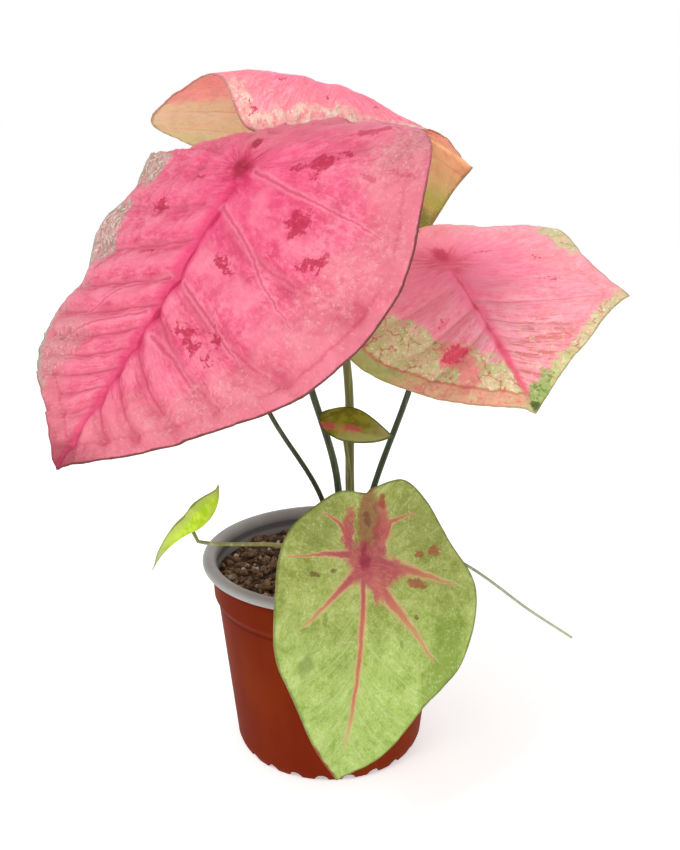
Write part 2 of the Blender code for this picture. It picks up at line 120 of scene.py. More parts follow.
# Every blade has the values of its CAD solid, the fineness of its mesh, the height of the quilted
# relief between its veins, and its side veins from the back lobe to the tip. A side vein is the
# place where it leaves the midrib, its end (x, distance from the midrib) and how far it bows
# towards the tip on its way.
BLADES = {
    "Front": dict(
        at=(-31, -62, 277), heading=-148, pitch=55, roll=-26, tip_bend=-7, lobe_bend=66, back=41,
        left=dict(radii=(129, 115, 103, 99, 89, 76, 60, 41, 29, 27), fold=(21, -2), curl=(-27, -3),
                  veins=((0, -34, 26, 0), (0, -24, 62, 2), (0, 3, 84, 2), (17, 33, 77, 7),
                         (48, 66, 64, 4), (62, 84, 54, 4), (76, 97, 42, 4), (88, 107, 30, 3),
                         (99, 115, 19, 2))),
        right=dict(radii=(129, 113, 108, 102, 86, 74, 61, 43, 29, 27), fold=(-29, 9), curl=(11, -68),
                   scallop=(67, 28, 3),
                   veins=((0, -34, 26, 0), (0, -22, 60, 2), (0, 2, 78, 2), (14, 24, 80, 4),
                          (30, 46, 78, 4), (46, 64, 70, 4), (58, 76, 60, 4), (68, 86, 50, 4),
                          (77, 94, 41, 3), (85, 101, 33, 3), (93, 107, 25, 2), (101, 113, 17, 2))),
        wave=(1.2, 7), thickness=0.55, mesh=(96, 26), quilt=2.3),
    "Right": dict(
        at=(48.5, -28, 238.5), heading=-73, pitch=21, roll=5, tip_bend=11, lobe_bend=18, back=47,
        left=dict(radii=(94, 81, 74, 68, 57, 60, 64, 54, 38, 31), fold=(-10, 19), curl=(11, -14),
                  corner=(50, 7, 7.5),
                  veins=((0, -38, 26, 0), (0, -24, 50, 2), (2, 2, 58, 2), (16, 24, 58, 4),
                         (30, 44, 56, 4), (42, 60, 40, 3), (52, 68, 32, 3), (61, 75, 25, 2),
                         (69, 81, 18, 2), (77, 87, 11, 1))),
        right=dict(radii=(94, 85, 77, 71, 55, 45, 46, 44, 33, 31), fold=(7, -19), curl=(8, 0),
                   veins=((0, -34, 20, 0), (0, -22, 36, 2), (2, 4, 44, 2), (16, 34, 48, 5),
                          (34, 54, 44, 4), (47, 66, 36, 4), (58, 76, 27, 3), (68, 83, 18, 2),
                          (77, 89, 10, 1))),
        wave=(0.7, 6), thickness=0.5, mesh=(84, 22), quilt=1.0),
    "Top": dict(
        at=(-1, 23, 306), heading=108, pitch=29, roll=0, tip_bend=-2, lobe_bend=123, back=43,
        left=dict(radii=(125, 99, 93, 91, 70, 54, 59, 43, 39, 36), fold=(17, 22), curl=(-49, 5),
                  veins=((0, -34, 26, 0), (0, -24, 44, 2), (2, 6, 62, 2), (18, 34, 66, 5),
                         (38, 58, 62, 4), (54, 76, 46, 4), (68, 90, 34, 3), (82, 102, 22, 3),
                         (96, 111, 13, 2))),
        right=dict(radii=(125, 107, 93, 95, 76, 74, 57, 45, 39, 36), fold=(-15, -39), curl=(-15, -35),
                   veins=((0, -34, 26, 0), (0, -24, 50, 2), (2, 6, 70, 2), (18, 34, 72, 5),
                          (38, 58, 62, 4), (54, 76, 46, 4), (68, 90, 34, 3), (82, 102, 22, 3),
                          (96, 111, 13, 2))),
        wave=(0.7, 7), thickness=0.5, mesh=(84, 22), quilt=1.0),
    "Green": dict(
        at=(15, -77, 126), heading=-88, pitch=60, roll=-26, tip_bend=35, lobe_bend=-20, back=35,
        left=dict(radii=(91, 83, 67, 62, 53, 40, 38, 37, 29, 27), fold=(-1, 1), curl=(10, 1),
                  veins=((0, -26, 20, 0), (0, -16, 36, 2), (0, 9, 46, -2), (8, 40, 36, -2),
                         (30, 54, 32, 3), (44, 66, 24, 3), (57, 75, 17, 2), (69, 82, 10, 1))),
        right=dict(radii=(91, 75, 61, 53, 42, 37, 32, 30, 27, 27), fold=(10, 9), curl=(-8, 4),
                   veins=((0, -24, 16, 0), (0, -14, 30, 2), (0, -1, 37, 0), (8, 28, 34, 1),
                          (26, 48, 27, 3), (40, 60, 20, 3), (54, 71, 13, 2), (67, 80, 7, 1))),
        wave=(0.6, 6), thickness=0.5, mesh=(80, 22), quilt=0.45),
    "Hidden": dict(
        at=(-46, 4, 222), heading=170, pitch=34, roll=0, tip_bend=20, lobe_bend=25, back=26,
        left=HIDDEN_HALF, right=HIDDEN_HALF,
        wave=(0.6, 6), thickness=0.5, mesh=(50, 14), quilt=0.5),
    "Small": dict(
        at=(7, -30, 169), heading=-17, pitch=8, roll=25, tip_bend=5, lobe_bend=25, back=14,
        left=dict(radii=(22, 17, 14, 12, 11, 11, 12, 14, 12, 11), fold=(-2, 1), curl=(3, -4),
                  veins=SMALL_VEINS),
        right=dict(radii=(22, 19, 16, 13, 11, 10, 10, 10, 12, 11), fold=(9, 0), curl=(5, -8),
                   veins=SMALL_VEINS),
        wave=(0.2, 5), thickness=0.4, mesh=(26, 8), quilt=0.15),
    "Young": dict(
        at=(-60, -30, 119), heading=-179, pitch=24, roll=5, tip_bend=40, lobe_bend=-72, back=25,
        left=dict(radii=(27, 20, 14, 11, 10, 12, 16, 22, 26, 25), fold=(62, 55), curl=(21, 34),
                  veins=YOUNG_VEINS),
        right=dict(radii=(27, 20, 14, 11, 10, 12, 16, 21, 26, 25), fold=(60, 50), curl=(20, 30),
                   veins=YOUNG_VEINS),
        wave=(0.0, 1), thickness=0.4, mesh=(26, 8), quilt=0.1),
}

# Every stalk follows the route of its CAD solid: its kind, its foot on the tuber, its radius at the
# foot and at the end, how far from its blade it is square to it, and the points on its way.
STALKS = {
    "Front": dict(kind="dark", foot=(5.5, -1.5), radii=(1.8, 1.3), reach=14,
                  way=((5.6, -3, 112), (2.8, -7, 142), (-7.5, -13, 180), (-18, -28, 225))),
    "Right": dict(kind="dark", foot=(16.0, -1.5), radii=(1.6, 1.2), reach=12,
                  way=((16.8, -2, 105), (20.5, -3, 128), (35.5, -7, 175), (45, -8, 208))),
    "Top": dict(kind="olive", foot=(10.5, 4.0), radii=(2.3, 1.6), reach=14,
                way=((10, 4, 127), (8, 3, 190), (-3, 5, 224), (-7, 9, 250))),
    "Green": dict(kind="olive", foot=(12.1, -7.6), radii=(1.7, 1.4), reach=12,
                  way=((12, -18, 114), (14, -42, 124))),
    "Hidden": dict(kind="dark", foot=(2.5, 4.5), radii=(1.3, 1.0), reach=10,
                   way=((1, 4, 106), (-6, 3, 128), (-26.5, 2, 163), (-38, 1, 192))),
    "Small": dict(kind="olive", foot=(7.6, -8.0), radii=(1.1, 0.8), reach=6,
                  way=((8.5, -13, 112), (9.5, -24, 142))),
    "Young": dict(kind="pale", foot=(1.0, -5.0), radii=(1.1, 0.8), reach=5,
                  way=((-7, -12, 101), (-24, -20, 108), (-45, -26, 111))),
    "Spent": dict(kind="dry", foot=(17.5, 4.0), radii=(0.8, 0.6), sides=10,
                  way=((22, 2, 96), (38, -7, 101), (56, -14, 99.5), (70, -20, 93.5),
                       (92, -22, 77), (114, -20, 61))),
}
UPRIGHT = (2.0, 6.0, 10.0)  # heights over the foot at which a stalk is still plumb
STALK_STEP = 3.0  # longest straight piece of a stalk
STALK_END = 2.5  # the last piece below the blade
STALK_SIDES = 14
KNOBBLY = 0.05  # unevenness of a stalk, as a share of its radius


# Small helpers


def blend(low, high, part):
    return low + (high - low) * part


def ease(low, high, value):
    """0 below low, 1 above high and a smooth rise between. It works on arrays."""
    t = np.clip((value - low) / (high - low), 0, 1)
    return t * t * (3 - 2 * t)


def through(points, step=None, steps=1):
    """Points on a smooth curve that passes through the given ones."""
    points = [Vector(p) for p in points]
    ends = [2 * points[0] - points[1]] + points + [2 * points[-1] - points[-2]]
    found = []
    for a, b, c, d in zip(ends, ends[1:], ends[2:], ends[3:]):
        before, here, after = (b - a).length, (c - b).length, (d - c).length
        slope_b, slope_c = (c - a) * here / (before + here), (d - b) * here / (here + after)
        count = math.ceil(here / step) if step else steps
        for i in range(count):
            t = i / count
            found.append(
                b * (2 * t**3 - 3 * t**2 + 1) + slope_b * (t**3 - 2 * t**2 + t)
                + c * (3 * t**2 - 2 * t**3) + slope_c * (t**3 - t**2))
    return found + [points[-1]]


def to_line(points, line):
    """Each flat point's distance to a polyline, and on which side of it the point lies (1 or -1)."""
    best = np.full(len(points), 1e9)
    side = np.ones(len(points))
    for a, b in zip(line, line[1:]):
        run = b - a
        away = points - a
        t = np.clip(away @ run / max(run @ run, 1e-12), 0, 1)
        gap = np.hypot(*(away - t[:, None] * run).T)
        closer = gap < best
        turned = run[0] * away[:, 1] - run[1] * away[:, 0]
        side = np.where(closer, np.where(turned >= 0, 1, -1), side)
        best = np.where(closer, gap, best)
    return best, side


def ripple(points, scale, seed):
    """Smooth noise between about -1 and 1 at each flat point. scale is its grain in mm."""
    return np.array([noise.noise(Vector((x / scale, y / scale, seed))) for x, y in points])


def new_object(name, data):
    obj = bpy.data.objects.new(name, data)
    bpy.context.scene.collection.objects.link(obj)
    return obj


def from_bmesh(name, bm):
    mesh = bpy.data.meshes.new(name)
    bm.to_mesh(mesh)
    bm.free()
    mesh.shade_smooth()
    return new_object(name, mesh)


def grid(bm, rows, columns):
    """Makes a grid, and gives each vertex with its row and its column."""
    bmesh.ops.create_grid(bm, x_segments=rows, y_segments=columns, size=1)
    return [(vertex, round((vertex.co.x + 1) / 2 * rows), round((vertex.co.y + 1) / 2 * columns))
            for vertex in bm.verts]


def dress(obj, slot, *finishes, node=None):
    """Gives a piece its finishes, puts it under the root body and hides the CAD part that it replaces.
    """
    for finish in finishes:
        obj.data.materials.append(finish)
    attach(obj, "root")
    if node:
        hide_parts(node)
    return obj


# Leaf blades


def scallop(x, y, middle, period, depth):
    """A few waves of the margin round the angle middle from the tip."""
    angle = np.degrees(np.arctan2(y, x)) - middle
    return depth * np.exp(-((angle / period) ** 2)) * np.cos(2 * np.pi * angle / period)


def half_outline(blade, side):
    """One half of the flat outline, from the tip to the notch between the lobes."""
    sign = 1 if side == "left" else -1
    half = blade[side]
    points = [(r * math.cos(math.radians(a)), r * math.sin(math.radians(a)), 0.0)
              for a, r in zip(OUTLINE_ANGLES, half["radii"])]
    points = through(points[:-1], steps=blade["mesh"][1]) + [Vector(points[-1])]
    if "scallop" in half:
        points = [p + p.normalized() * float(scallop(p.x, p.y, *half["scallop"])) for p in points]
    if "corner" in half:
        points = [p + p.normalized() * corner(p, *half["corner"]) for p in points]
    return [Vector((point.x, sign * point.y)) for point in points]


def corner(point, middle, width, height):
    """A pointed corner of the margin at the angle middle from the tip."""
    away = abs(math.degrees(math.atan2(point.y, point.x)) - middle)
    return height * math.exp(-away / width)


def outline(blade):
    """The flat outline from the notch between the lobes, round the left half to the tip, and back."""
    left, right = half_outline(blade, "left"), half_outline(blade, "right")
    return left[::-1] + right[1:]


def turn(blade):
    """The turn of a blade from its flat place to where it points."""
    return (Matrix.Rotation(math.radians(blade["heading"]), 3, "Z")
            @ Matrix.Rotation(math.radians(blade["pitch"]), 3, "Y")
            @ Matrix.Rotation(math.radians(blade["roll"]), 3, "X"))


def steady(curvature):
    """Keeps a curvature away from zero, so that it can be divided by."""
    return np.where(np.abs(curvature) < 1e-6, 1e-6, curvature)


def bent(blade, x, y, edge, around):
    """Where the flat points lie on the bent blade, in mm."""
    tip, back = blade["left"]["radii"][0], blade["back"]
    ahead = x >= 0
    bend = steady(np.where(ahead, math.radians(blade["tip_bend"]) / tip,
                           math.radians(blade["lobe_bend"]) / back))
    length = np.abs(x)
    forward = np.sin(bend * length) / bend * np.where(ahead, 1, -1)
    down = (1 - np.cos(bend * length)) / bend
    slope = -bend * x
    part = np.clip((x + back) / (tip + back), 0, 1)
    fold, curl, lift = np.zeros_like(x), np.zeros_like(x), np.zeros_like(x)
    for side, on in (("left", y >= 0), ("right", y < 0)):
        half = blade[side]
        fold = np.where(on, np.radians(blend(*half["fold"], part)), fold)
        curl = np.where(on, np.radians(blend(*half["curl"], part)) / half["radii"][WIDEST], curl)
        if "scallop" in half:
            lift = np.where(on, edge**3 * scallop(x, np.abs(y), *half["scallop"]), lift)
    curl = steady(curl)
    v = np.abs(y)
    across = (np.sin(fold + curl * v) - np.sin(fold)) / curl * np.where(y >= 0, 1, -1)
    rise = (np.cos(fold) - np.cos(fold + curl * v)) / curl * v * v / (v * v + MIDRIB_SOFTNESS**2)
    height, count = blade["wave"]
    rise = rise + lift + height * edge**3 * np.sin(2 * np.pi * count * around)
    local = np.stack([forward - np.sin(slope) * rise, across, -down + np.cos(slope) * rise], 1)
    return local @ np.array(turn(blade)).T + np.array(blade["at"])


def side_vein(vein, sign):
    """A side vein as a flat polyline."""
    start, end_x, end_y, bow = vein
    line = []
    for t in np.linspace(0, 1, 9):
        line.append((blend(start, end_x, t) + 4 * bow * t * (1 - t), sign * end_y * t))
    return np.array(line)


def vein_fields(blade, flat):
    """The order and the spacing of the side veins at each flat point.

    The order is a whole number on every side vein and runs evenly from each to the next, so it
    says both where a vein is and how far a point lies between two.
    """
    order, spacing = np.zeros(len(flat)), np.full(len(flat), END_SPACING)
    for side, sign in (("left", 1), ("right", -1)):
        on = flat[:, 1] * sign >= 0
        points = flat[on]
        lines = [side_vein(vein, sign) for vein in blade[side]["veins"]]
        gaps, sides = zip(*[to_line(points, line) for line in lines])
        ahead = [-sign * s > 0 for s in sides]
        here = -gaps[0] / END_SPACING
        width = np.full(len(points), END_SPACING)
        for i in range(len(lines)):
            if i + 1 < len(lines):
                both = np.maximum(gaps[i] + gaps[i + 1], 0.5)
                here = np.where(ahead[i], i + gaps[i] / both, here)
                width = np.where(ahead[i], both, width)
            else:
                here = np.where(ahead[i], i + gaps[i] / END_SPACING, here)
        order[on], spacing[on] = here, width
    return order, spacing


def relief(blade, flat, order, spacing, rim, seed):
    """How far each point stands above the smooth blade: quilted between the veins.

    The crumple runs along the side veins, and the margin is crinkled on its own.
    """
    reach = np.hypot(*flat.T)
    between = 1 - np.abs(2 * (order - np.floor(order)) - 1)
    pillow = between * (2 - between) - 0.6
    inside = ease(0, MARGIN_VEIN * 1.6, rim) * ease(4, 26, reach)
    small = np.clip(spacing / 9, 0.2, 1.3)
    quilt = blade["quilt"]
    towards_tip = 0.4 + 0.6 * ease(0, 50, flat[:, 0])
    height = quilt * pillow * inside * small * towards_tip
    height -= 0.2 * quilt * np.exp(-((rim - MARGIN_VEIN) / 1.6) ** 2) * ease(10, 30, reach)
    midrib = np.exp(-((flat[:, 1] / 1.8) ** 2)) * (flat[:, 0] > 0) * ease(2, 12, reach)
    height -= 0.7 * quilt * midrib
    away = ease(6, 20, reach)
    along = np.stack([order * END_SPACING, np.abs(flat[:, 1]) * 0.35], 1)
    for places, grain, shift, share in ((along, 6.0, 3, 0.5), (flat, 8.0, 0, 0.4), (flat, 2.8, 7, 0.18)):
        height += quilt * share * ripple(places, grain, seed + shift) * away
    height += 0.35 * min(quilt, 1.0) * ripple(flat, 3.6, seed + 5) * ease(7, 1, rim)
    return height


def flat_sheet(blade):
    """The blade as a fine flat sheet, whose vertices remember how far out and around they lie."""
    rim = outline(blade)
    rings, spokes = blade["mesh"][0], len(rim) - 1
    bm = bmesh.new()
    edge = bm.verts.layers.float.new("edge")
    around = bm.verts.layers.float.new("around")
    for vertex, ring, spoke in grid(bm, rings, spokes):
        vertex[edge], vertex[around] = ring / rings, spoke / spokes
        vertex.co = (*(rim[spoke] * (ring / rings)), 0)
    bmesh.ops.remove_doubles(bm, verts=bm.verts, dist=0.001)
    bmesh.ops.recalc_face_normals(bm, faces=bm.faces)
    if sum(face.normal.z for face in bm.faces) < 0:
        bmesh.ops.reverse_faces(bm, faces=bm.faces)
    return bm, np.array([tuple(p) for p in rim])


def read(mesh, name):
    """The values that a mesh's vertices hold under a name."""
    values = np.empty(len(mesh.vertices), np.float32)
    mesh.attributes[name].data.foreach_get("value", values)
    return values.astype(float)


def make_blade(name, blade, upper, under, slot, seed):
    """A leaf blade: flat sheet, bent, lifted by its relief and thickened."""
    bm, rim_line = flat_sheet(blade)
    obj = from_bmesh("Leaf_" + name, bm)
    mesh = obj.data
    places = np.empty(len(mesh.vertices) * 3, np.float32)
    mesh.vertices.foreach_get("co", places)
    flat = places.reshape(-1, 3)[:, :2].astype(float)
    edge, around = read(mesh, "edge"), read(mesh, "around")
    rim = to_line(flat, rim_line)[0]
    order, spacing = vein_fields(blade, flat)
    x, y = flat.T
    here = bent(blade, x, y, edge, around)
    along_x = bent(blade, x + NUDGE, y, edge, around) - here
    along_y = bent(blade, x, y + np.where(y < 0, -NUDGE, NUDGE), edge, around) - here
    along_y *= np.where(y < 0, -1, 1)[:, None]
    up = np.cross(along_x, along_y)
    up /= np.linalg.norm(up, axis=1)[:, None]
    lift = relief(blade, flat, order, spacing, rim, seed)
    here += up * lift[:, None]
    mesh.vertices.foreach_set("co", (here * MM).astype(np.float32).ravel())
    for key, values in dict(order=order, spacing=spacing, rim=rim, lift=lift).items():
        mesh.attributes.new(key, "FLOAT", "POINT").data.foreach_set("value", values.astype(np.float32))
    corners = np.empty(len(mesh.loops), np.int32)
    mesh.loops.foreach_get("vertex_index", corners)
    sheet = mesh.uv_layers.new(name="Flat")
    sheet.data.foreach_set("uv", (0.5 + flat[corners] / FLAT_SPAN).astype(np.float32).ravel())
    mesh.update()
    solid = obj.modifiers.new("Thickness", "SOLIDIFY")
    solid.thickness = blade["thickness"] * MM
    solid.offset = -1
    solid.material_offset = 1
    solid.material_offset_rim = 0
    return dress(obj, slot, upper, under, node="Blade_" + name)


# Stalks


def stalk_path(stalk, blade):
    """A stalk's middle line, from the tuber to the underside of its blade, which it meets squarely.

    The spent stalk has no blade.
    """
    foot = Vector((*stalk["foot"], TUBER_TOP + GAP))
    path = [foot] + [foot + Vector((0, 0, z)) for z in UPRIGHT] + [Vector(p) for p in stalk["way"]]
    if blade:
        out = turn(blade) @ Vector((0, 0, 1))
        end = Vector(blade["at"]) - out * blade["thickness"] * 0.6
        path += [end - out * stalk["reach"], end - out * STALK_END, end]
    return through(path, step=STALK_STEP)


def tube(name, path, radii, sides):
    """A round stalk along a path. Its UV map holds the share of its length and of its girth."""
    steps = len(path) - 1
    side, frames = Vector((1, 0, 0)), []
    for i in range(steps + 1):
        ahead = (path[min(i + 1, steps)] - path[max(i - 1, 0)]).normalized()
        side = (side - ahead * side.dot(ahead)).normalized()
        frames.append((path[i], side, ahead.cross(side)))
    bm = bmesh.new()
    flat = bm.loops.layers.uv.new("Flat")
    places = grid(bm, steps, sides)
    for face in bm.faces:
        for loop in face.loops:
            loop[flat].uv = ((loop.vert.co.x + 1) / 2, (loop.vert.co.y + 1) / 2)
    for vertex, ring, place in places:
        turned = 2 * math.pi * place / sides
        centre, right, forward = frames[ring]
        radius = blend(*radii, ring / steps)
        radius *= 1 + KNOBBLY * noise.noise(Vector((ring * 0.35, math.cos(turned), 0)))
        vertex.co = (centre + (right * math.cos(turned) + forward * math.sin(turned)) * radius) * MM
    bmesh.ops.remove_doubles(bm, verts=bm.verts, dist=1e-7)
    bmesh.ops.holes_fill(bm, edges=[e for e in bm.edges if e.is_boundary])
    bmesh.ops.recalc_face_normals(bm, faces=bm.faces)
    return from_bmesh(name, bm)


# Pot


def wall_radius(z):
    """The outer radius of the pot's wall at a height."""
    radius = WALL_RADIUS_LOW + WALL_TAPER * min(z, STEP_Z)
    if z > STEP_Z:
        radius += COLLAR_TAPER * (z - STEP_Z) + COLLAR * float(ease(0, STEP_RISE, z - STEP_Z))
    return radius


def pot_profile():
    """Height and radius from the inner floor's centre, over the rim, to the underside's centre."""
    top, r = POT_HEIGHT, RIM_RADIUS
    heights = [9 + i * 3 for i in range(22)] + [STEP_Z + i * 0.6 for i in range(8)]
    heights += [STEP_Z + 6 + i * 2 for i in range(6)]
    wall = [z for z in heights if z < top - 5]
    floor = [(FLOOR_UNDER + WALL, 0.0), (FLOOR_UNDER + WALL, FOOT_INNER - 2),
             (FLOOR_UNDER + 1.3, FOOT_INNER + 1.4), (FLOOR_UNDER + 2.3, FOOT_INNER + 3)]
    inside = [(z, wall_radius(z) - WALL) for z in wall] + [(top - 4.0, r - 6.6)]
    rim = [(top - 2.0, r - 6.2), (top - 1.0, r - 5.6), (top - 0.3, r - 4.6), (top, r - 3.4),
           (top - 0.05, r - 2.2), (top - 0.4, r - 1.1), (top - 1.1, r - 0.3), (top - 2.1, r),
           (top - 3.1, r - 0.1), (top - 3.8, r - 0.5), (top - 4.2, r - 1.2), (top - 4.2, r - 2.0),
           (top - 3.8, r - 2.9)]
    outside = [(z, wall_radius(z)) for z in [top - 5.2] + wall[::-1] + [6, 4.2]]
    foot = [(2.4, FOOT_OUTER + 1.4), (1.1, FOOT_OUTER + 0.8), (0.3, FOOT_OUTER + 0.3),
            (0.0, FOOT_OUTER - 0.3), (0.0, FOOT_INNER + 0.2), (0.4, FOOT_INNER),
            (2.8, FOOT_INNER - 0.4), (FLOOR_UNDER, FOOT_INNER - 1.6), (FLOOR_UNDER, 0.0)]
    return floor + inside + rim + outside + foot


def rod(bm, place, radius, length, sides):
    bmesh.ops.create_cone(
        bm, cap_ends=True, segments=sides, radius1=radius * MM, radius2=radius * MM,
        depth=length * MM, matrix=place)


def pot_cutter():
    """Foot notches and drain holes as one mesh of rods."""
    bm = bmesh.new()
    for i in range(NOTCHES):
        place = (Matrix.Rotation(2 * math.pi * (i + 0.25) / NOTCHES, 4, "Z")
                 @ Matrix.Translation((NOTCH_CIRCLE * MM, 0, 0)) @ Matrix.Rotation(math.pi / 2, 4, "Y"))
        rod(bm, place, NOTCH_RADIUS, length=10, sides=28)
    spots = [(DRAIN_CIRCLE * math.cos(2 * math.pi * i / DRAINS),
              DRAIN_CIRCLE * math.sin(2 * math.pi * i / DRAINS)) for i in range(DRAINS)]
    for x, y in spots + [(0.0, 0.0)]:
        rod(bm, Matrix.Translation(Vector((x, y, FLOOR_UNDER)) * MM), DRAIN_RADIUS,
            length=8, sides=32)
    return from_bmesh("cutter", bm)


def applied(obj, tool):
    """Cuts the tool out of the object, and removes the tool."""
    modifier = obj.modifiers.new("Cut", "BOOLEAN")
    modifier.operation = "DIFFERENCE"
    modifier.solver = "EXACT"
    modifier.object = tool
    bpy.context.view_layer.update()
    graph = bpy.context.evaluated_depsgraph_get()
    mesh = bpy.data.meshes.new_from_object(obj.evaluated_get(graph))
    obj.modifiers.clear()
    obj.data = mesh
    bpy.data.objects.remove(tool)


def make_pot(outer, inner):
    """The pot's profile turned round its axis, with the notches and drain holes cut out."""
    bm = bmesh.new()
    line = [bm.verts.new((radius * MM, 0, z * MM)) for z, radius in pot_profile()]
    edges = [bm.edges.new(pair) for pair in zip(line, line[1:])]
    bmesh.ops.spin(bm, geom=line + edges, cent=(0, 0, 0), axis=(0, 0, 1), angle=2 * math.pi,
                   steps=POT_SIDES, use_merge=True)
    bmesh.ops.remove_doubles(bm, verts=bm.verts, dist=1e-6)
    bmesh.ops.recalc_face_normals(bm, faces=bm.faces)
    obj = from_bmesh("Pot_shell", bm)
    applied(obj, pot_cutter())
    dress(obj, "pot_plastic", outer, inner, node="Pot")
    for face in obj.data.polygons:
        centre, out = face.center / MM, face.normal
        inward = out.x * centre.x + out.y * centre.y < -0.5 * math.hypot(centre.x, centre.y)
        within = centre.z > FLOOR_UNDER + LIGHT_FLOOR and (inward or out.z > 0.9)
        face.material_index = int(within or centre.z > POT_HEIGHT - LIP)
    obj.data.set_sharp_from_angle(angle=math.radians(50))
    return obj


# Soil


def soil_height(x, y):
    """The height of the soil's surface in mm: it sinks towards the pot's wall."""
    edge = min(math.hypot(x, y) / SOIL_REACH, 1)
    base = SOIL_Z + SOIL_CROWN * (1 - edge**2) - edge**6
    base += SOIL_SLOPE[0] * x + SOIL_SLOPE[1] * y
    for grain, seed, height in SOIL_BUMPS:
        base += height * noise.noise(Vector((x / grain, y / grain, seed)))
    return base


def make_soil(finish):
    """The soil as one body that fills the pot to GAP from its wall."""
    low = FLOOR_UNDER + WALL + GAP
    side = [(low, 0.0), (low, FOOT_INNER - 3), (9, wall_radius(9) - WALL - GAP)]
    side += [(z, wall_radius(z) - WALL - GAP) for z in (40, STEP_Z, STEP_Z + STEP_RISE)]
    brim = wall_radius(SOIL_Z) - WALL - GAP
    rows = side + [(None, brim * (1 - i / SOIL_RINGS)) for i in range(SOIL_RINGS + 1)]
    bm = bmesh.new()
    for vertex, row, place in grid(bm, len(rows) - 1, SOIL_SIDES):
        z, radius = rows[row]
        angle = 2 * math.pi * place / SOIL_SIDES
        x, y = radius * math.cos(angle), radius * math.sin(angle)
        vertex.co = Vector((x, y, soil_height(x, y) if z is None else z)) * MM
    bmesh.ops.remove_doubles(bm, verts=bm.verts, dist=1e-6)
    bmesh.ops.recalc_face_normals(bm, faces=bm.faces)
    return dress(from_bmesh("Soil_body", bm), "soil", finish, node="Soil")


def scatter(name, finish, seed, count, sizes, stretch, rough, lift):
    """Grains strewn over the soil: dented lumps, which stand out by lift times their size."""
    rule = random.Random(seed)
    grain = bmesh.new()
    bmesh.ops.create_icosphere(grain, subdivisions=2, radius=1)
    ball = bpy.data.meshes.new("ball")
    grain.to_mesh(ball)
    grain.free()
    bm = bmesh.new()
    tint = bm.verts.layers.float.new("tint")
    for _ in range(count):
        radius, angle = SOIL_REACH * math.sqrt(rule.random()), rule.uniform(0, 2 * math.pi)
        x, y = radius * math.cos(angle), radius * math.sin(angle)
        size = rule.uniform(*sizes) * blend(0.7, 1.2, rule.random() ** 2)
        place = Matrix.Translation(Vector((x, y, soil_height(x, y) + lift * size)) * MM)
        place @= Matrix.Rotation(rule.uniform(0, math.pi), 4, "Z")
        place @= Matrix.Rotation(rule.gauss(0, 0.45), 4, "X")
        place @= Matrix.Diagonal((*(size * MM * share for share in stretch), 1))
        bm.from_mesh(ball)
        bm.verts.ensure_lookup_table()
        shade, shift = rule.random(), rule.uniform(0, 100)
        for vertex in bm.verts[-len(ball.vertices):]:
            dent = 1 + rough * noise.noise(vertex.co * 1.4 + Vector((shift, 0, 0)))
            vertex.co = place @ (vertex.co * dent)
            vertex[tint] = shade
    bpy.data.meshes.remove(ball)
    return dress(from_bmesh(name, bm), "soil", finish)


# Finishes


def maths(operation, swapped=False):
    """A method that adds a node for one operation on a wire and other values."""

    def method(self, *others):
        values = (*others, self) if swapped else (self, *others)
        return self.finish.node("ShaderNodeMath", dict(operation=operation), *values)

    return method


class Wire:
    """The output of a node, which can be used in Python expressions."""

    __add__ = __radd__ = maths("ADD")
    __mul__ = __rmul__ = maths("MULTIPLY")
    __sub__, __rsub__ = maths("SUBTRACT"), maths("SUBTRACT", swapped=True)
    __truediv__, __pow__ = maths("DIVIDE"), maths("POWER")
    __abs__ = maths("ABSOLUTE")
    less, more, round = maths("MINIMUM"), maths("MAXIMUM"), maths("ROUND")

    def __init__(self, finish, socket):
        self.finish, self.socket = finish, socket

    def ramp(self, low, high):
        """0 up to low, 1 from high and smooth between. low may be the larger one."""
        settings = dict(interpolation_type="SMOOTHSTEP", data_type="FLOAT")
        values = (self, low, high, 0, 1) if low < high else (self, high, low, 1, 0)
        return self.finish.node("ShaderNodeMapRange", settings, *values)


def seen(*colour, light=LIGHT):
    """The paint that shows on screen as this colour, given as numbers from 0 to 255."""
    paint = []
    for value in colour:
        value /= 255
        linear = value / 12.92 if value <= 0.04045 else ((value + 0.055) / 1.055) ** 2.4
        paint.append(min(max((linear - SHEEN) / light, 0.003), 0.92))
    return tuple(paint)


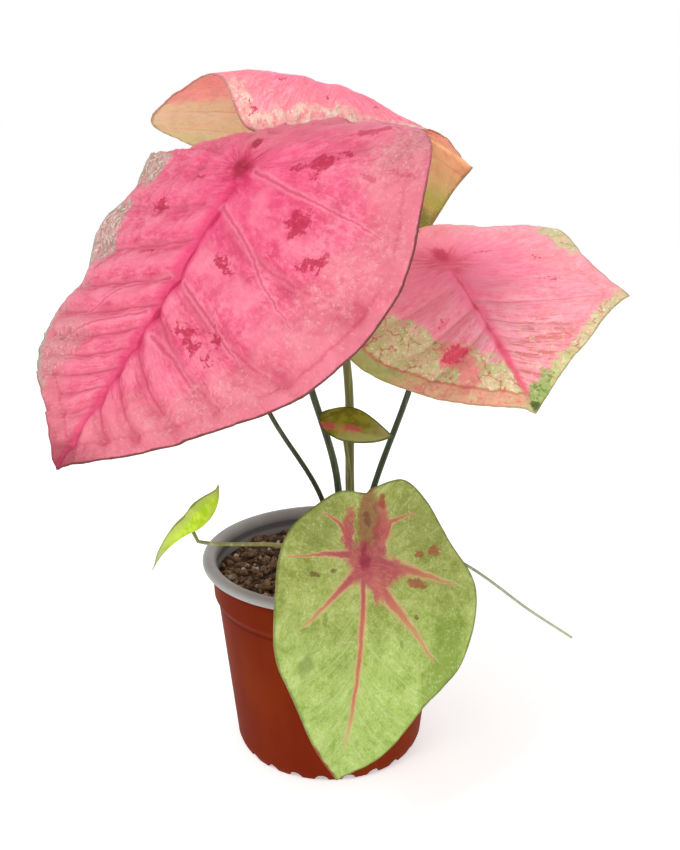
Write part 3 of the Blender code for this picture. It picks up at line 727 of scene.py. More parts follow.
class Finish:
    """A material whose nodes are written as expressions and whose colour is laid on in layers.

    light is the brightness of white paint on this piece, so that seen() suits its colours. Each
    colour that ground, paint and chips are given is one as on screen, in numbers from 0 to 255.
    """

    def __init__(self, name, light=LIGHT):
        self.material = bpy.data.materials.new(name)
        self.material.use_nodes = True
        self.tree = self.material.node_tree
        self.shader = self.tree.nodes["Principled BSDF"]
        self.light = light
        self.colour = None

    def node(self, kind, settings=None, *values, output=0, **named):
        made = self.tree.nodes.new(kind)
        for key, value in (settings or {}).items():
            setattr(made, key, value)
        for key, value in list(enumerate(values)) + list(named.items()):
            self.feed(made.inputs[key], value)
        return Wire(self, made.outputs[output])

    def feed(self, socket, value):
        if isinstance(value, Wire):
            self.tree.links.new(value.socket, socket)
        else:
            socket.default_value = value

    def place(self):
        return self.node("ShaderNodeTexCoord", None, output="Object")

    def flat(self):
        return self.node("ShaderNodeUVMap", dict(uv_map="Flat"))

    def value(self, name):
        return self.node("ShaderNodeAttribute", dict(attribute_name=name), output="Fac")

    def scaled(self, vector, scale):
        return self.node("ShaderNodeMapping", None, Vector=vector, Scale=scale)

    def split(self, vector):
        parts = self.node("ShaderNodeSeparateXYZ", None, vector)
        return [Wire(self, socket) for socket in parts.socket.node.outputs]

    def join(self, x, y, z):
        return self.node("ShaderNodeCombineXYZ", None, x, y, z)

    def noise(self, vector, scale, detail=3, rough=0.55, output=0):
        return self.node("ShaderNodeTexNoise", None, Vector=vector, Scale=scale, Detail=detail,
                         Roughness=rough, output=output)

    def cells(self, vector, scale, feature="F1"):
        return self.node("ShaderNodeTexVoronoi", dict(feature=feature), Vector=vector,
                         Scale=scale, output="Distance")

    def bump(self, height, strength, distance):
        return self.node("ShaderNodeBump", None, Height=height, Strength=strength,
                         Distance=distance)

    def seen(self, *colour):
        return seen(*colour, light=self.light)

    def mix(self, part, low, high):
        """The colour that is low where part is 0 and high where it is 1."""
        made = self.tree.nodes.new("ShaderNodeMix")
        made.data_type = "RGBA"
        colours = [s for s in made.inputs if s.type == "RGBA"]
        self.feed(made.inputs[0], part)
        for socket, colour in zip(colours, (low, high)):
            self.feed(socket, colour if isinstance(colour, Wire) else (*colour, 1))
        return Wire(self, next(s for s in made.outputs if s.type == "RGBA"))

    def ground(self, part, low, high):
        """Starts the colour: low where part is 0 and high where it is 1."""
        self.colour = self.mix(part, self.seen(*low), self.seen(*high))

    def lay(self, part, paint):
        """Lays a paint or a mixed colour over what is there, as far as part says."""
        self.colour = self.mix(part, self.colour, paint)

    def paint(self, part, *colour):
        self.lay(part, self.seen(*colour))

    def done(self, **values):
        """The material, with the colour as laid on and these values of its shader."""
        for key, value in dict(Base_Color=self.colour, **values).items():
            self.feed(self.shader.inputs[key.replace("_", " ")], value)
        return self.material


class LeafFinish(Finish):
    """A finish that reads a blade's flat place, its veins, its relief and its margin."""

    def __init__(self, name, light=LIGHT):
        super().__init__(name, light)
        self.sheet = self.flat()
        across, up, _ = self.split(self.sheet)
        self.x, self.y = (across - 0.5) * FLAT_SPAN, (up - 0.5) * FLAT_SPAN
        self.reach = (self.x * self.x + self.y * self.y) ** 0.5
        self.rim, self.lift = self.value("rim"), self.value("lift")
        order = self.value("order")
        self.broad = self.noise(self.sheet, 14, 4)
        self.grain = self.noise(self.sheet, 45, 4)
        self.fine = self.noise(self.sheet, 260, 5, 0.65)
        wander = order + (self.noise(self.sheet, 24, 2) - 0.5) * 0.1
        self.side_vein = abs(wander - wander.round()) * self.value("spacing")
        along = self.join(order * 6, self.y * 0.09, self.x * 0.02)
        self.strands = self.noise(along, 1, 4, 0.6)
        thin = self.join(order * 17, self.y * 0.3, self.x * 0.06)
        self.hairs = self.noise(thin, 1, 3, 0.6)
        jags = self.split(self.noise(self.sheet, 70, 5, 0.68, output=1))
        self.jag_x, self.jag_y = jags[0] - 0.5, jags[1] - 0.5

    def sum(self, a, b, c):
        """a times b plus c."""
        return self.node("ShaderNodeMath", dict(operation="MULTIPLY_ADD"), a, b, c)

    def torn(self, distance, raggedness):
        """A distance in mm whose even lines become ragged."""
        return self.sum(self.jag_x, raggedness, distance)

    def patches(self, spots, ragged=9, soft=0.2):
        """1 inside ragged patches of the blade and 0 outside them.

        A patch is its middle, half its length, half its width and how far it is turned.
        """
        across, up = self.torn(self.x, ragged), self.sum(self.jag_y, ragged, self.y)
        nearest = None
        for x, y, long, wide, *turned in spots:
            angle = math.radians(turned[0]) if turned else 0
            run, rise = math.cos(angle), math.sin(angle)
            u = self.sum(across, run / long, self.sum(up, rise / long, -(x * run + y * rise) / long))
            v = self.sum(up, run / wide, self.sum(across, -rise / wide, (x * rise - y * run) / wide))
            away = self.sum(u, u, v * v)
            nearest = away if nearest is None else nearest.less(away)
        return nearest.ramp(1 + soft, 1 - soft)

    def rays(self, ways, wobble=2.5):
        """How far each place is from the nearest ray, as a share of the ray's half width there.

        A ray is its flat points and its half widths at them.
        """
        across, up = self.torn(self.x, wobble), self.sum(self.jag_y, wobble, self.y)
        nearest = None
        for points, widths in ways:
            for a, b, base, tip in zip(points, points[1:], widths, widths[1:]):
                (x, y), length = (Vector(b) - Vector(a)).normalized(), math.dist(a, b)
                along = self.sum(across, x, self.sum(up, y, -(a[0] * x + a[1] * y)))
                off = self.sum(up, x, self.sum(across, -y, a[0] * y - a[1] * x))
                share = self.node("ShaderNodeMath", dict(operation="MULTIPLY", use_clamp=True),
                                  along, 1 / length)
                past = self.sum(share, -length, along)
                away = self.sum(off, off, past * past) ** 0.5 / self.sum(share, tip - base, base)
                nearest = away if nearest is None else nearest.less(away)
        return nearest

    def chips(self, where, *tones):
        """Breaks a region up into ragged chips. A tone is its grain, its threshold and colour."""
        for scale, low, *colour in tones:
            pattern = self.noise(self.sheet, scale, 6, 0.7).ramp(low, low + 0.06)
            self.paint(where * pattern, *colour)

    def netlike(self, spots, *colour):
        """Red spots whose inside is broken up like a net."""
        holes = self.hairs.ramp(0.56, 0.5).more(self.fine.ramp(0.42, 0.5))
        where = self.patches(spots, ragged=17, soft=0.3) * (0.45 + holes * 0.55)
        self.paint(where * 0.85, *colour)

    def flesh(self, deep, base, light, shade, streaks=1):
        """The clouded and streaked colour of a blade, from its darkest tone to its lightest."""
        tone = self.broad.ramp(0.4, 0.6) * 0.3 + self.grain.ramp(0.4, 0.6) * 0.35
        tone = tone + self.strands.ramp(0.38, 0.62) * 0.35
        self.colour = self.mix(tone.ramp(0.1, 0.5), deep, base)
        self.lay(tone.ramp(0.5, 0.95) * 0.8, light)
        self.lay(self.hairs.ramp(0.53, 0.62) * (0.5 * streaks), light)
        self.lay(self.hairs.ramp(0.46, 0.38) * (0.4 * streaks), shade)
        self.lay(self.fine.ramp(0.54, 0.62) * 0.3, light)
        self.lay(self.fine.ramp(0.45, 0.37) * 0.3, shade)

    def leaf(self, bumps, rough=0.45):
        """The leaf's skin: the colour as laid on, a satin sheen and a fine grain."""
        height = bumps + self.fine * 0.6 + self.grain * 0.6 + self.hairs * 0.5
        return self.done(Roughness=rough + self.fine * 0.16, Specular_IOR_Level=0.25,
                         Normal=self.bump(height, 0.5, 0.0008))


def pink_ground(f, look):
    """The pink of an upper side, with its veins, the dark knot over the stalk, and painted highlight and
    painted shade that follow the relief.
    """
    f.flesh(*[f.seen(*look[tone]) for tone in ("deep", "base", "light", "shade")])
    near = (f.reach + (f.strands - 0.5) * 40).ramp(60, 8)
    f.paint(near * look["heat"], *look["hot"])
    outward = (f.rim + (f.broad - 0.5) * 60 + (f.grain - 0.5) * 30).ramp(30, 2)
    f.paint(outward * look["fading"], *look["dull"])
    # painted highlight on the raised pillows and painted shade in the furrows between the veins, by the
    # height of the relief
    f.paint(f.lift.ramp(0.1, 1.3) * 0.5, *look["light"])
    f.paint(f.lift.ramp(-0.2, -1.4) * 0.6, *look["shade"])
    inner = f.reach.ramp(12, 30) * f.rim.ramp(6, 16) * (0.35 + f.x.ramp(0, 50) * 0.65)
    f.paint(f.side_vein.ramp(2.6, 1) * inner * 0.35, *look["light"])
    f.paint(f.side_vein.ramp(0.8, 0.2) * inner * 0.4, *look["vein"])
    centre = abs(f.y + (f.grain - 0.5) * 1.2)
    band = (centre / (1.2 + (f.rim * 0.05).less(3))).ramp(1.4, 0.5) * f.x.ramp(-2, 10)
    f.paint(band * 0.7, *look["hot"])
    groove = (centre / 0.8).ramp(1.1, 0.3) * f.x.ramp(6, 14) * f.rim.ramp(10, 60)
    f.paint(groove * 0.7, *look["vein"])
    knot = (f.torn(f.reach, 14) + (f.strands - 0.5) * 34).ramp(15, 2)
    f.paint(knot * 0.8, *look["vein"])
    f.paint(f.patches(look["knots"], ragged=7, soft=0.8) * 0.9, *look["knot"])
    seam = abs(f.torn(f.rim, 5) - MARGIN_VEIN).ramp(0.9, 0.2) * f.grain.ramp(0.4, 0.5)
    f.paint(seam * look["seam"], *look["vein"])
    flecks = f.fine.ramp(0.54, 0.62) * f.hairs.ramp(0.47, 0.55)
    f.paint(flecks * (0.12 + outward * 0.5) * look["flecks"], *look["fleck"])


# The tones of the pink leaves as on screen, the strength of four effects and the patches of the knot
# The light and shade tones also serve as the painted highlight and painted shade on the relief.
FRONT_PINK = dict(
    base=(238, 98, 134), deep=(224, 80, 116), hot=(240, 82, 130), light=(250, 140, 162),
    shade=(196, 66, 96), dull=(226, 128, 140), vein=(204, 44, 90), knot=(168, 14, 62),
    fleck=(248, 190, 196), fading=0.75, seam=0.35, flecks=0.5, heat=0.65,
    knots=((0, 0, 4.6, 4), (-12, -1, 2.6, 2)))
RIGHT_PINK = dict(
    base=(254, 154, 172), deep=(246, 128, 150), hot=(254, 120, 154), light=(255, 178, 190),
    shade=(226, 108, 124), dull=(240, 158, 158), vein=(228, 84, 110), knot=(208, 56, 94),
    fleck=(252, 218, 210), fading=0.4, seam=0.2, flecks=0.6, heat=0.85, knots=((-5, 0, 6, 3),))
TOP_PINK = dict(
    base=(248, 126, 152), deep=(240, 100, 134), hot=(250, 104, 148), light=(254, 168, 182),
    shade=(218, 88, 112), dull=(248, 160, 154), vein=(228, 80, 110), knot=(190, 40, 84),
    fleck=(254, 214, 200), fading=0.4, seam=0.1, flecks=0.6, heat=0.5, knots=((-2, 0, 4, 3),))


def front_upper():
    """The big front leaf: deep pink, netlike red spots and margins mottled in grey and green."""
    f = LeafFinish("Front leaf", light=1.3)
    pink_ground(f, FRONT_PINK)
    ribs = (((16, 1), (25, 20), (39, 41), (48, 60)), ((48, 4), (57, 25), (62, 36), (66, 46)),
            ((71, 6), (75, 20), (81, 33), (86, 42)), ((0, 8), (3, 30), (6, 62), (8, 76)),
            ((48, -5), (60, -23), (68, -31), (78, -42)), ((64, -3), (72, -18), (80, -31), (86, -40)))
    beside = f.rays([(rib, (2.2, 1.8, 1.2, 0.5)) for rib in ribs])
    f.paint(beside.ramp(1.3, 0.5) * 0.45, 250, 146, 168)
    f.paint(beside.ramp(0.45, 0.15) * 0.6, 208, 60, 100)
    streaks = f.patches(((-25, 45, 1.6, 9, 25), (-12, 68, 1, 5.5), (-8, 58, 0.8, 4)))
    f.paint(streaks * 0.7, 204, 50, 94)
    f.netlike(((-8, 37, 3.4, 5.6, 10), (-5, 28, 1.6, 4, 20), (13, 40, 4.2, 5.4, 10),
               (-14, 44, 1, 3), (24, 54, 1.8, 6, 30), (37, 19, 2, 7.6, -25),
               (66, 21, 2.4, 7.6, -25), (62, 31, 1.2, 5, -30), (8, -23, 1.4, 3.6, 15),
               (22, -38, 3, 5), (85, -38, 3, 1.6), (53, -52, 3, 2), (42, -25, 1.6, 2.6),
               (70, 34, 1, 4, -30)), 190, 32, 72)
    pale = f.patches(((3, -72, 12, 15), (40, -78, 17, 24), (-14, -76, 14, 10)), ragged=30)
    pale = pale * f.torn(f.rim, 20).ramp(28, 20)
    f.paint(pale * 0.9, 202, 164, 158)
    f.chips(pale, (60, 0.5, 164, 140, 116), (95, 0.52, 222, 208, 192), (130, 0.53, 206, 112, 122),
            (80, 0.56, 150, 136, 96), (200, 0.56, 238, 236, 226))
    ashen = f.patches(((96, -42, 22, 13, -40), (66, -70, 20, 10), (-22, 60, 9, 7)), ragged=30, soft=0.7)
    f.paint(ashen * 0.35, 220, 160, 160)
    f.chips(ashen * 0.8, (90, 0.52, 214, 150, 152), (150, 0.54, 200, 86, 106),
            (210, 0.56, 238, 214, 208))
    dusty = f.patches(((-16, 62, 14, 12, 30), (30, 66, 30, 9, -20), (84, 40, 26, 7, -45)),
                      ragged=34, soft=0.8)
    f.paint(dusty * 0.35, 226, 132, 144)
    f.chips(dusty * 0.4, (50, 0.5, 244, 160, 170), (90, 0.53, 202, 88, 110),
            (140, 0.56, 244, 196, 190), (110, 0.58, 216, 168, 150))
    grey = f.torn(f.rim, 8).ramp(4, 1) * f.y.ramp(-20, -40)
    f.chips(grey, (60, 0.4, 180, 164, 146), (140, 0.54, 218, 208, 196))
    f.paint(f.torn(f.x, 20).ramp(112, 127) * 0.7, 136, 40, 54)
    left = f.y.ramp(-2, 6) * f.x.ramp(-24, 0)
    f.paint(f.torn(f.rim, 1.2).ramp(0.9, 0.3) * (0.3 + left * 0.6), 104, 60, 50)
    return f.leaf(f.strands * 0.9)


def right_upper():
    """The right leaf: lighter pink that breaks up into cream and pale green towards the tip."""
    f = LeafFinish("Right leaf", light=1.02)
    pink_ground(f, RIGHT_PINK)
    near = f.y.ramp(1, -1)
    tan = f.patches(((70, 14, 20, 13, -15),), ragged=26, soft=0.7)
    f.paint(tan * f.strands.ramp(0.52, 0.44) * 0.75, 198, 112, 104)
    f.chips(tan * 0.8, (110, 0.55, 236, 190, 164), (170, 0.57, 206, 190, 150))
    beyond = (f.x - 40) * 0.64 - (f.y + 27) * 0.77 + f.jag_x * 30 + (f.broad - 0.5) * 24
    pale = beyond.ramp(-2.5, 2) * near
    ledge = f.torn(f.rim, 9).ramp(5.4, 3.6) * f.x.ramp(40, 50) * (1 - near)
    corner = f.patches(((-8, 55, 17, 5),), ragged=16, soft=0.5) * (1 - near)
    pale = pale.more(ledge).more(corner)
    f.paint(pale * 0.92, 212, 200, 152)
    f.chips(pale, (26, 0.47, 192, 200, 136), (60, 0.53, 226, 210, 170), (90, 0.54, 196, 176, 126),
            (150, 0.55, 228, 160, 142), (230, 0.57, 246, 236, 210))
    warped = f.join(f.x * 0.1 + f.jag_x, f.y * 0.14 + f.jag_y, 0.5)
    net = f.cells(warped, 1, "DISTANCE_TO_EDGE").ramp(0.05, 0.01)
    f.paint(net * pale * f.grain.ramp(0.42, 0.52) * 0.8, 186, 96, 84)
    blush = f.patches(((66, -15, 9, 4.5, -10), (58, -17, 8, 6)), ragged=20, soft=0.6)
    f.paint(blush * 0.8, 240, 128, 136)
    outer = f.torn(f.rim, 5).ramp(7.4, 6) * near
    f.paint(outer * f.x.ramp(34, 42) * f.x.ramp(68, 58) * 0.8, 166, 176, 104)
    rosy = outer * f.x.ramp(56, 68) * f.x.ramp(93, 88)
    f.paint(rosy * 0.7, 226, 150, 132)
    f.chips(rosy * 0.8, (120, 0.54, 232, 110, 110), (90, 0.54, 212, 196, 150))
    line = abs(f.torn(f.rim, 4) - MARGIN_VEIN).ramp(0.9, 0.3) * near * f.x.ramp(34, 44)
    f.paint(line * 0.65, 196, 88, 84)
    midrib = abs(f.torn(f.y, 2)).ramp(1.8, 0.8) * f.x.ramp(40, 60) * f.x.ramp(90, 82)
    f.paint(midrib * 0.7, 234, 92, 118)
    leafy = f.patches(((87, 4, 8, 4, -30), (81, 9, 5, 2.4, -40)), ragged=10, soft=0.4)
    f.paint(leafy * 0.85, 150, 172, 98)
    f.chips(leafy * 0.8, (90, 0.5, 104, 132, 62), (130, 0.54, 190, 200, 146))
    f.paint(f.patches(((91, 1, 2.6, 2),), ragged=6, soft=0.5) * 0.8, 74, 88, 42)
    f.netlike(((57, -17, 4.6, 4), (24, 32, 1.4, 0.9), (29, 36, 1, 2.2), (40, -16, 2.2, 1, -40),
               (8, 38, 3.4, 0.7), (-3, 18, 0.8, 3.4)), 220, 62, 94)
    f.paint((f.rim + f.jag_x).ramp(0.8, 0.2) * 0.5, 136, 126, 74)
    return f.leaf(f.strands * 0.9)


def top_upper():
    """The top leaf: pink, with a broken cream band along the back lobes."""
    f = LeafFinish("Top leaf")
    pink_ground(f, TOP_PINK)
    band = f.torn(f.rim, 14).ramp(8.5, 5.5) * f.x.ramp(-14, -24)
    f.paint(band * 0.8, 230, 178, 168)
    f.chips(band * 0.75, (40, 0.49, 232, 206, 188), (70, 0.53, 206, 150, 134),
            (90, 0.52, 240, 120, 140), (60, 0.57, 176, 130, 106), (120, 0.57, 248, 236, 222))
    f.netlike(((-33, 41, 2, 1.6), (-28, 8, 1.8, 1), (-26, -16, 1.6, 0.8), (-20, 24, 1, 1.6)),
              204, 40, 84)
    f.paint(f.torn(f.rim, 2).ramp(1.4, 0.4) * 0.6, 150, 96, 72)
    return f.leaf(f.strands * 0.8)


def veined_under(f, vein, edge):
    """Adds the raised veins and the margin of an underside."""
    net = f.side_vein.ramp(1.3, 0.3) * f.reach.ramp(6, 14)
    midrib = abs(f.y).ramp(2.2, 0.8)
    f.paint(net.more(midrib) * 0.3, *vein)
    f.paint(f.strands.ramp(0.46, 0.58) * 0.22, *vein)
    f.paint(f.grain.ramp(0.54, 0.42) * 0.18, *edge)
    f.lay(f.fine.ramp(0.54, 0.62) * 0.25, seen(244, 214, 180))
    f.paint(f.torn(f.rim, 3).ramp(1.8, 0.4) * 0.7, *edge)
    return f.leaf(net, 0.5)


def pink_under():
    """The underside of a pink leaf: dull rose that turns olive outwards."""
    f = LeafFinish("Pink leaf underside")
    outward = (f.rim + (f.broad - 0.5) * 60).ramp(26, 4)
    f.ground(outward, (222, 150, 140), (186, 172, 112))
    return veined_under(f, (228, 120, 124), (110, 96, 52))


def top_under():
    """The underside of the top leaf, which shows at both sides: tan, orange and olive."""
    f = LeafFinish("Top leaf underside", light=1)
    soft = (f.broad - 0.5) * 40 + (f.grain - 0.5) * 24
    along, less_soft = f.x + soft, f.x + soft * 0.6
    f.ground(along.ramp(-26, 12), (240, 154, 130), (228, 176, 124))
    f.paint(along.ramp(4, 24), 204, 178, 110)
    f.paint(less_soft.ramp(20, 36), 160, 166, 60)
    f.paint(less_soft.ramp(34, 42), 128, 122, 46)
    right = f.colour
    f.ground(along.ramp(40, 84), (228, 186, 146), (206, 186, 124))
    f.paint(along.ramp(34, -10), 248, 168, 148)
    f.paint(f.grain.ramp(0.5, 0.58) * 0.35, 200, 180, 120)
    streak = f.patches(((12, 57, 10, 24), (2, 46, 9, 14)), ragged=24, soft=0.9)
    f.paint(streak * 0.75, 250, 126, 134)
    f.lay(f.y.ramp(4, -4), right)
    return veined_under(f, (238, 148, 120), (134, 112, 66))


def green_star(f):
    """The rose star of the green leaf: its arms, midrib and mottled heart, and painted shade in the
    notch between the back lobes.
    """
    ways = (((0, 4), (3, 20), (6, 32), (9, 42)), ((6, 3), (17, 13), (28, 24), (40, 34)),
            ((-8, 8), (-16, 12), (-19, 19), (-20, 23)), ((4, -3), (11, -11), (18, -19), (26, -29)),
            ((-2, -6), (-2, -16), (-1, -26), (0, -36)), ((-9, -8), (-14, -12), (-17, -17), (-18, -21)))
    sizes = ((3, 1.7, 0.9, 0.2), (2.8, 1.6, 1, 0.3), (2, 1, 0.4, 0.2), (2.4, 1.3, 0.8, 0.2),
             (1.8, 0.9, 0.4, 0.2), (1.8, 0.8, 0.4, 0.2))
    beside = f.rays(list(zip(ways, sizes)))
    rays, halo = beside.ramp(1.3, 0.5), beside.ramp(2.4, 1.2)
    star = f.patches(((1, 0, 9, 8), (-12, 7.4, 14, 3.2), (-10, -7.5, 10, 2.8), (9, 5, 8, 4, 20),
                      (4, 10, 5, 8)), ragged=13, soft=0.6)
    half = 1 + ((74 - f.x) * 0.02).more(0)
    off = abs(f.torn(f.y, 1.6) + 0.4) / half
    length = f.x.ramp(0, 4)
    rib, core = off.ramp(1.3, 0.8) * f.x.ramp(80, 68), off.ramp(0.7, 0.25) * f.x.ramp(76, 50)
    f.paint(halo.more(rib * length) * 0.6, 218, 172, 128)
    warm = f.mix(f.reach.ramp(32, 8), f.seen(202, 104, 88), f.seen(180, 60, 92))
    fade = f.reach.ramp(46, 14)
    f.lay(star.more(rays * (0.45 + fade * 0.55)).more(core * length) * 0.85, warm)
    f.paint(star * (f.hairs.ramp(0.5, 0.58) * 0.4 + f.grain.ramp(0.5, 0.58) * 0.3), 206, 128, 108)
    # painted shade: a dark brown-red wedge behind the knot, where the back lobes meet over the notch
    sinus_shade = f.patches(((-18, 1, 13, 4.4), (-14, 3, 7, 4)), ragged=9, soft=0.6)
    f.paint(sinus_shade * 0.7, 152, 80, 66)
    f.paint(sinus_shade * f.grain.ramp(0.5, 0.6) * 0.6, 112, 54, 48)
    f.paint(f.patches(((0, 0.5, 3.4, 3), (-3, 0, 4, 1.4)), ragged=6, soft=0.9) * 0.75, 152, 30, 66)


def green_upper():
    """The green leaf with its rose star, main veins and spots."""
    f = LeafFinish("Green leaf", light=1.24)
    outer = (f.x + (f.broad - 0.5) * 60).ramp(0, 60)
    deep = f.mix(outer, f.seen(142, 154, 72), f.seen(148, 178, 80))
    base = f.mix(outer, f.seen(160, 170, 88), f.seen(170, 196, 100))
    light = f.mix(outer, f.seen(182, 190, 112), f.seen(192, 214, 126))
    f.flesh(deep, base, light, f.seen(126, 146, 62), streaks=0.45)
    curls = f.noise(f.sheet, 120, 3, 0.7)
    f.paint(curls.ramp(0.5, 0.56) * curls.ramp(0.62, 0.56) * 0.35, 204, 218, 140)
    f.paint(f.patches(((44, 38, 15, 7, -20), (30, 40, 12, 8)), ragged=16, soft=0.8) * 0.6,
            118, 142, 38)
    f.paint(f.patches(((-18, 26, 14, 9, 40), (-14, -22, 12, 8, -30)), ragged=16, soft=0.8) * 0.45,
            134, 142, 66)
    f.paint(f.fine.ramp(0.53, 0.6) * f.grain.ramp(0.46, 0.56) * 0.35, 214, 230, 164)
    veins = f.side_vein.ramp(0.8, 0.2) * f.reach.ramp(20, 40)
    f.paint(veins * 0.35, 196, 214, 136)
    green_star(f)
    brown = f.patches(((-5, 32, 2.4, 3), (-3, 25, 1.8, 2.4), (8.5, 24, 1.8, 4.4), (-24, 7, 3, 1.8)),
                      ragged=7, soft=0.4)
    f.paint(brown * 0.75, 160, 72, 58)
    dark = f.patches(((6, -24, 1.2, 2.8), (4.5, -15, 0.8, 1.6), (22, 24, 1.2, 1)), ragged=5, soft=0.5)
    f.paint(dark * 0.75, 110, 76, 42)
    moss = f.patches(((33, 18, 2, 1), (23, -18, 2.6, 1.2), (40, -26, 3.6, 3.6)), ragged=6, soft=0.8)
    f.paint(moss * 0.5, 100, 122, 50)
    edge = f.torn(f.rim, 2).ramp(1.2, 0.2)
    f.paint(edge * 0.6, 96, 100, 44)
    f.paint(edge * f.x.ramp(68, 76) * f.y.ramp(0, -4), 150, 78, 46)
    return f.leaf(f.strands * 0.8 + veins * 0.5)


def green_under():
    f = LeafFinish("Green leaf underside")
    f.ground(f.broad.ramp(0.35, 0.65), (150, 162, 104), (140, 168, 96))
    return veined_under(f, (200, 132, 112), (96, 100, 48))


def olive_upper():
    """The small leaf: olive, flushed with red on one side of its base."""
    f = LeafFinish("Small leaf")
    f.ground(f.grain.ramp(0.4, 0.6), (110, 120, 18), (146, 158, 54))
    f.paint(f.torn(f.x, 8).ramp(8, 19) * 0.8, 176, 184, 122)
    near = f.torn(f.y, 5).ramp(-1.6, -4)
    f.paint(near * (f.x + f.jag_y * 10).ramp(-4, 4) * 0.9, 178, 192, 118)
    flush = f.patches(((-4, -3.4, 9, 2.6, -6), (4, -1.7, 6, 1.8)), ragged=6, soft=0.9)
    f.paint(flush * 0.45, 206, 150, 100)
    f.paint(flush * f.grain.ramp(0.58, 0.46) * 0.8, 204, 92, 104)
    f.paint((f.rim + f.jag_x).ramp(1, 0.3) * 0.8, 64, 72, 22)
    return f.leaf(f.grain)


def young_upper():
    """The half-rolled young leaf: yellow green with greyer margins and a pale tail."""
    f = LeafFinish("Young leaf")
    f.ground(f.grain.ramp(0.4, 0.6), (180, 218, 34), (208, 238, 66))
    f.paint(f.strands.ramp(0.48, 0.58) * 0.4, 224, 246, 116)
    f.paint(f.torn(f.rim, 4).ramp(5, 1) * 0.6, 180, 192, 112)
    f.paint(f.torn(f.x, 6).ramp(12, 24) * 0.8, 196, 208, 160)
    f.paint(abs(f.y).ramp(1.2, 0.3) * 0.4, 150, 190, 30)
    f.paint((f.rim + f.jag_x).ramp(0.7, 0.2) * 0.6, 110, 120, 56)
    return f.leaf(f.strands)


def pot_outside():
    """Brick red plastic, with painted shade in a band under the rim and in the crease below the collar.
    """
    f = Finish("Pot outside")
    place = f.place()
    flow = f.noise(f.scaled(place, (30, 30, 16)), 1, 3)
    grain = f.noise(place, 900, 3)
    f.ground(flow.ramp(0.35, 0.65), (118, 49, 4), (127, 56, 9))
    height = f.split(place)[2]
    crease = abs(height - (STEP_Z - 0.6) * MM).ramp(1.1 * MM, 0.3 * MM)
    # painted shade: a dark band under the rim's roll and a dark line in the crease below the collar
    f.paint((height.ramp(87.5 * MM, 92.5 * MM) * 0.5).more(crease * 0.5), 78, 28, 2)
    return f.done(Roughness=0.45 + grain * 0.15, Specular_IOR_Level=0.02,
                  Normal=f.bump(grain * 0.4 + flow, 0.12, 0.0004))


def pot_inside():
    """Light grey plastic, with painted shade in the fold where the rim turns down into the pot."""
    f = Finish("Pot inside and rim")
    place = f.place()
    cloud, grain = f.noise(place, 40, 4), f.noise(place, 900, 3)
    f.ground(cloud.ramp(0.35, 0.7), (156, 156, 156), (172, 171, 169))
    x, y, z = f.split(place)
    within = ((x * x + y * y) ** 0.5).ramp(57.5 * MM, 55.5 * MM)
    # painted shade in a band under the rim, on the inside wall
    f.paint(abs(z - FOLD_Z * MM).ramp(2.8 * MM, 0.8 * MM) * within * 0.6, 76, 74, 84)
    return f.done(Roughness=0.35 + grain * 0.15, Specular_IOR_Level=0.3,
                  Normal=f.bump(grain, 0.08, 0.0003))


def earth(name, dark, light, tinted=False):
    """Rough earth. Loose grains are tinted one by one."""
    f = Finish(name)
    place = f.place()
    lumps, grit = f.noise(place, 260, 4), f.noise(place, 1500, 4, 0.7)
    part = lumps.ramp(0.35, 0.65)
    if tinted:
        part = part * 0.4 + f.value("tint") * 0.7
    f.ground(part, dark, light)
    f.paint(grit.ramp(0.55, 0.35), *dark)
    return f.done(Roughness=0.95, Normal=f.bump(grit + lumps, 0.8, 0.0008))


def stalk_finish(name, foot, top, lit):
    """A stalk that runs from one tone at its foot to another at its top, with lighter lines."""
    f = Finish(name)
    f.ground(f.split(f.flat())[0], foot, top)
    lines = f.noise(f.scaled(f.place(), (500, 500, 40)), 1, 3)
    f.paint(lines.ramp(0.5, 0.7) * 0.6, *lit)
    return f.done(Roughness=0.42, Normal=f.bump(lines, 0.25, 0.0004))


# The plant


def make_leaves():
    rose_under, leaf_under = pink_under(), green_under()
    top, young = top_upper(), young_upper()
    finishes = {
        "Front": (front_upper(), rose_under, "leaf_pink"),
        "Right": (right_upper(), rose_under, "leaf_pink"),
        "Top": (top, top_under(), "leaf_pink"),
        "Hidden": (top, rose_under, "leaf_pink"),
        "Green": (green_upper(), leaf_under, "leaf_green"),
        "Small": (olive_upper(), leaf_under, "leaf_olive"),
        "Young": (young, young, "leaf_young"),
    }
    for seed, (name, blade) in enumerate(BLADES.items()):
        make_blade(name, blade, *finishes[name], seed * 11.0)


def make_stalks():
    finishes = dict(
        dark=stalk_finish("Dark stalk", (58, 68, 34), (50, 58, 34), (96, 106, 66)),
        olive=stalk_finish("Olive stalk", (104, 104, 30), (92, 94, 26), (160, 160, 74)),
        pale=stalk_finish("Pale stalk", (224, 218, 150), (122, 130, 74), (230, 230, 176)),
        dry=stalk_finish("Withered stalk", (120, 130, 96), (172, 184, 150), (200, 208, 180)))
    for name, stalk in STALKS.items():
        kind, path = stalk["kind"], stalk_path(stalk, BLADES.get(name))
        obj = tube("Petiole_" + name, path, stalk["radii"], stalk.get("sides", STALK_SIDES))
        dress(obj, "stalk_" + kind, finishes[kind], node="Stalk_" + name)


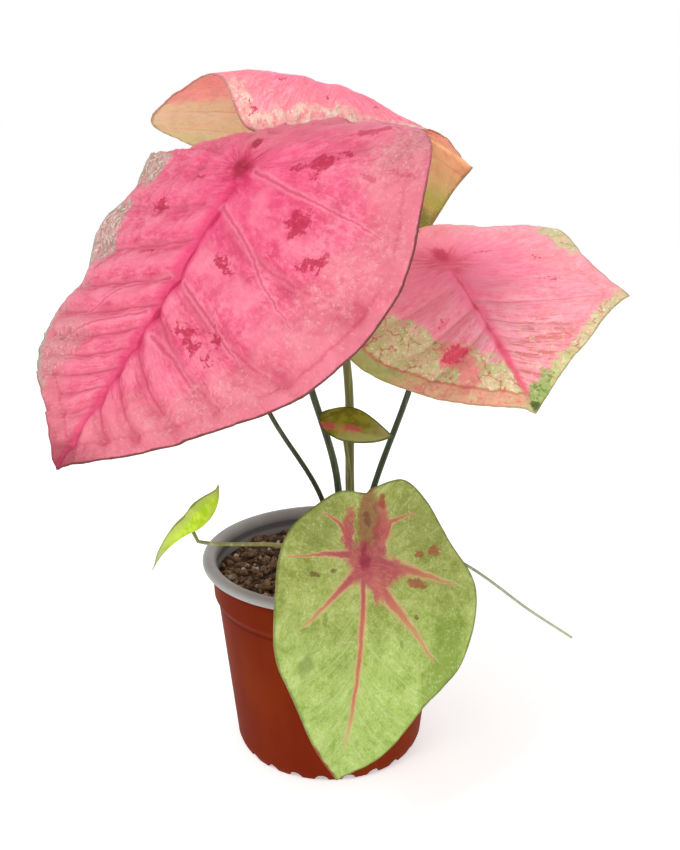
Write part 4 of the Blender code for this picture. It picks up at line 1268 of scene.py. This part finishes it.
def make_ground():
    make_soil(earth("Soil", (62, 46, 36), (112, 88, 64)))
    scatter("Soil_crumbs", earth("Soil crumbs", (70, 52, 40), (182, 152, 122), tinted=True),
            seed=5, count=900, sizes=(0.9, 2.4), stretch=(1.0, 0.8, 0.7), rough=0.8, lift=0.25)
    scatter("Soil_white_grains", earth("White grains", (196, 182, 160), (250, 244, 232), tinted=True),
            seed=8, count=130, sizes=(0.8, 1.9), stretch=(1.0, 0.9, 0.8), rough=0.6, lift=0.5)
    scatter("Soil_bark", earth("Bark", (120, 90, 58), (206, 178, 136), tinted=True),
            seed=12, count=46, sizes=(1.4, 3.0), stretch=(1.3, 0.7, 0.35), rough=0.5, lift=0.6)


def dress_tuber():
    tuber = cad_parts["Tuber"]
    tuber.data.materials.clear()
    tuber.data.materials.append(earth("Tuber skin", (84, 56, 36), (150, 110, 76)))


# The set


def make_floor():
    bm = bmesh.new()
    bmesh.ops.create_grid(bm, x_segments=1, y_segments=1, size=FLOOR_HALF)
    floor = from_bmesh("floor", bm)
    f = Finish("Floor")
    f.colour = (0.92, 0.92, 0.92, 1)
    floor.data.materials.append(f.done(Roughness=0.95, Emission_Color=(1, 1, 1, 1),
                                       Emission_Strength=FLOOR_GLOW))


def make_light(name, place, aim_height, size, power):
    """A square lamp that shines on a point above the origin."""
    data = bpy.data.lights.new(name, "AREA")
    data.size, data.energy = size, power
    lamp = new_object(name, data)
    lamp.location = place
    aim = Vector((0, 0, aim_height)) - Vector(place)
    lamp.rotation_euler = aim.to_track_quat("-Z", "Y").to_euler()


def make_world():
    """A white surround that is bright at the horizon and softer overhead."""
    world = bpy.data.worlds.new("Studio")
    world.use_nodes = True
    tree = world.node_tree
    where = tree.nodes.new("ShaderNodeTexCoord")
    parts = tree.nodes.new("ShaderNodeSeparateXYZ")
    rise = tree.nodes.new("ShaderNodeMapRange")
    rise.interpolation_type = "SMOOTHSTEP"
    for socket, value in zip(rise.inputs[1:5], (0.15, 0.6, HORIZON, SKY)):
        socket.default_value = value
    tree.links.new(where.outputs["Generated"], parts.inputs[0])
    tree.links.new(parts.outputs[2], rise.inputs[0])
    back = tree.nodes["Background"]
    back.inputs["Color"].default_value = (1, 1, 1, 1)
    tree.links.new(rise.outputs[0], back.inputs["Strength"])
    bpy.context.scene.world = world


def make_studio():
    make_floor()
    make_world()
    make_light("key", (-0.55, -0.6, 1.15), aim_height=0.2, size=0.4, power=7)
    make_light("fill", (0.4, -1.3, 0.6), aim_height=0.15, size=1.0, power=5)
    make_light("back", (0.3, 1.2, 1.0), aim_height=0.2, size=1.0, power=2)
    bpy.context.scene.view_settings.view_transform = "Standard"


def make_camera():
    data = bpy.data.cameras.new("camera")
    data.sensor_fit = "VERTICAL"
    data.sensor_height = SENSOR_MM
    data.lens = FOCAL_PIXELS / PICTURE_HEIGHT * SENSOR_MM
    data.clip_start = 0.01
    camera = new_object("camera", data)
    camera.location = Vector(CAMERA_AT) * MM
    camera.rotation_euler = (math.radians(90 - CAMERA_TILT), 0, 0)
    bpy.context.scene.camera = camera


make_pot(pot_outside(), pot_inside())
make_ground()
make_leaves()
make_stalks()
dress_tuber()
make_studio()
make_camera()
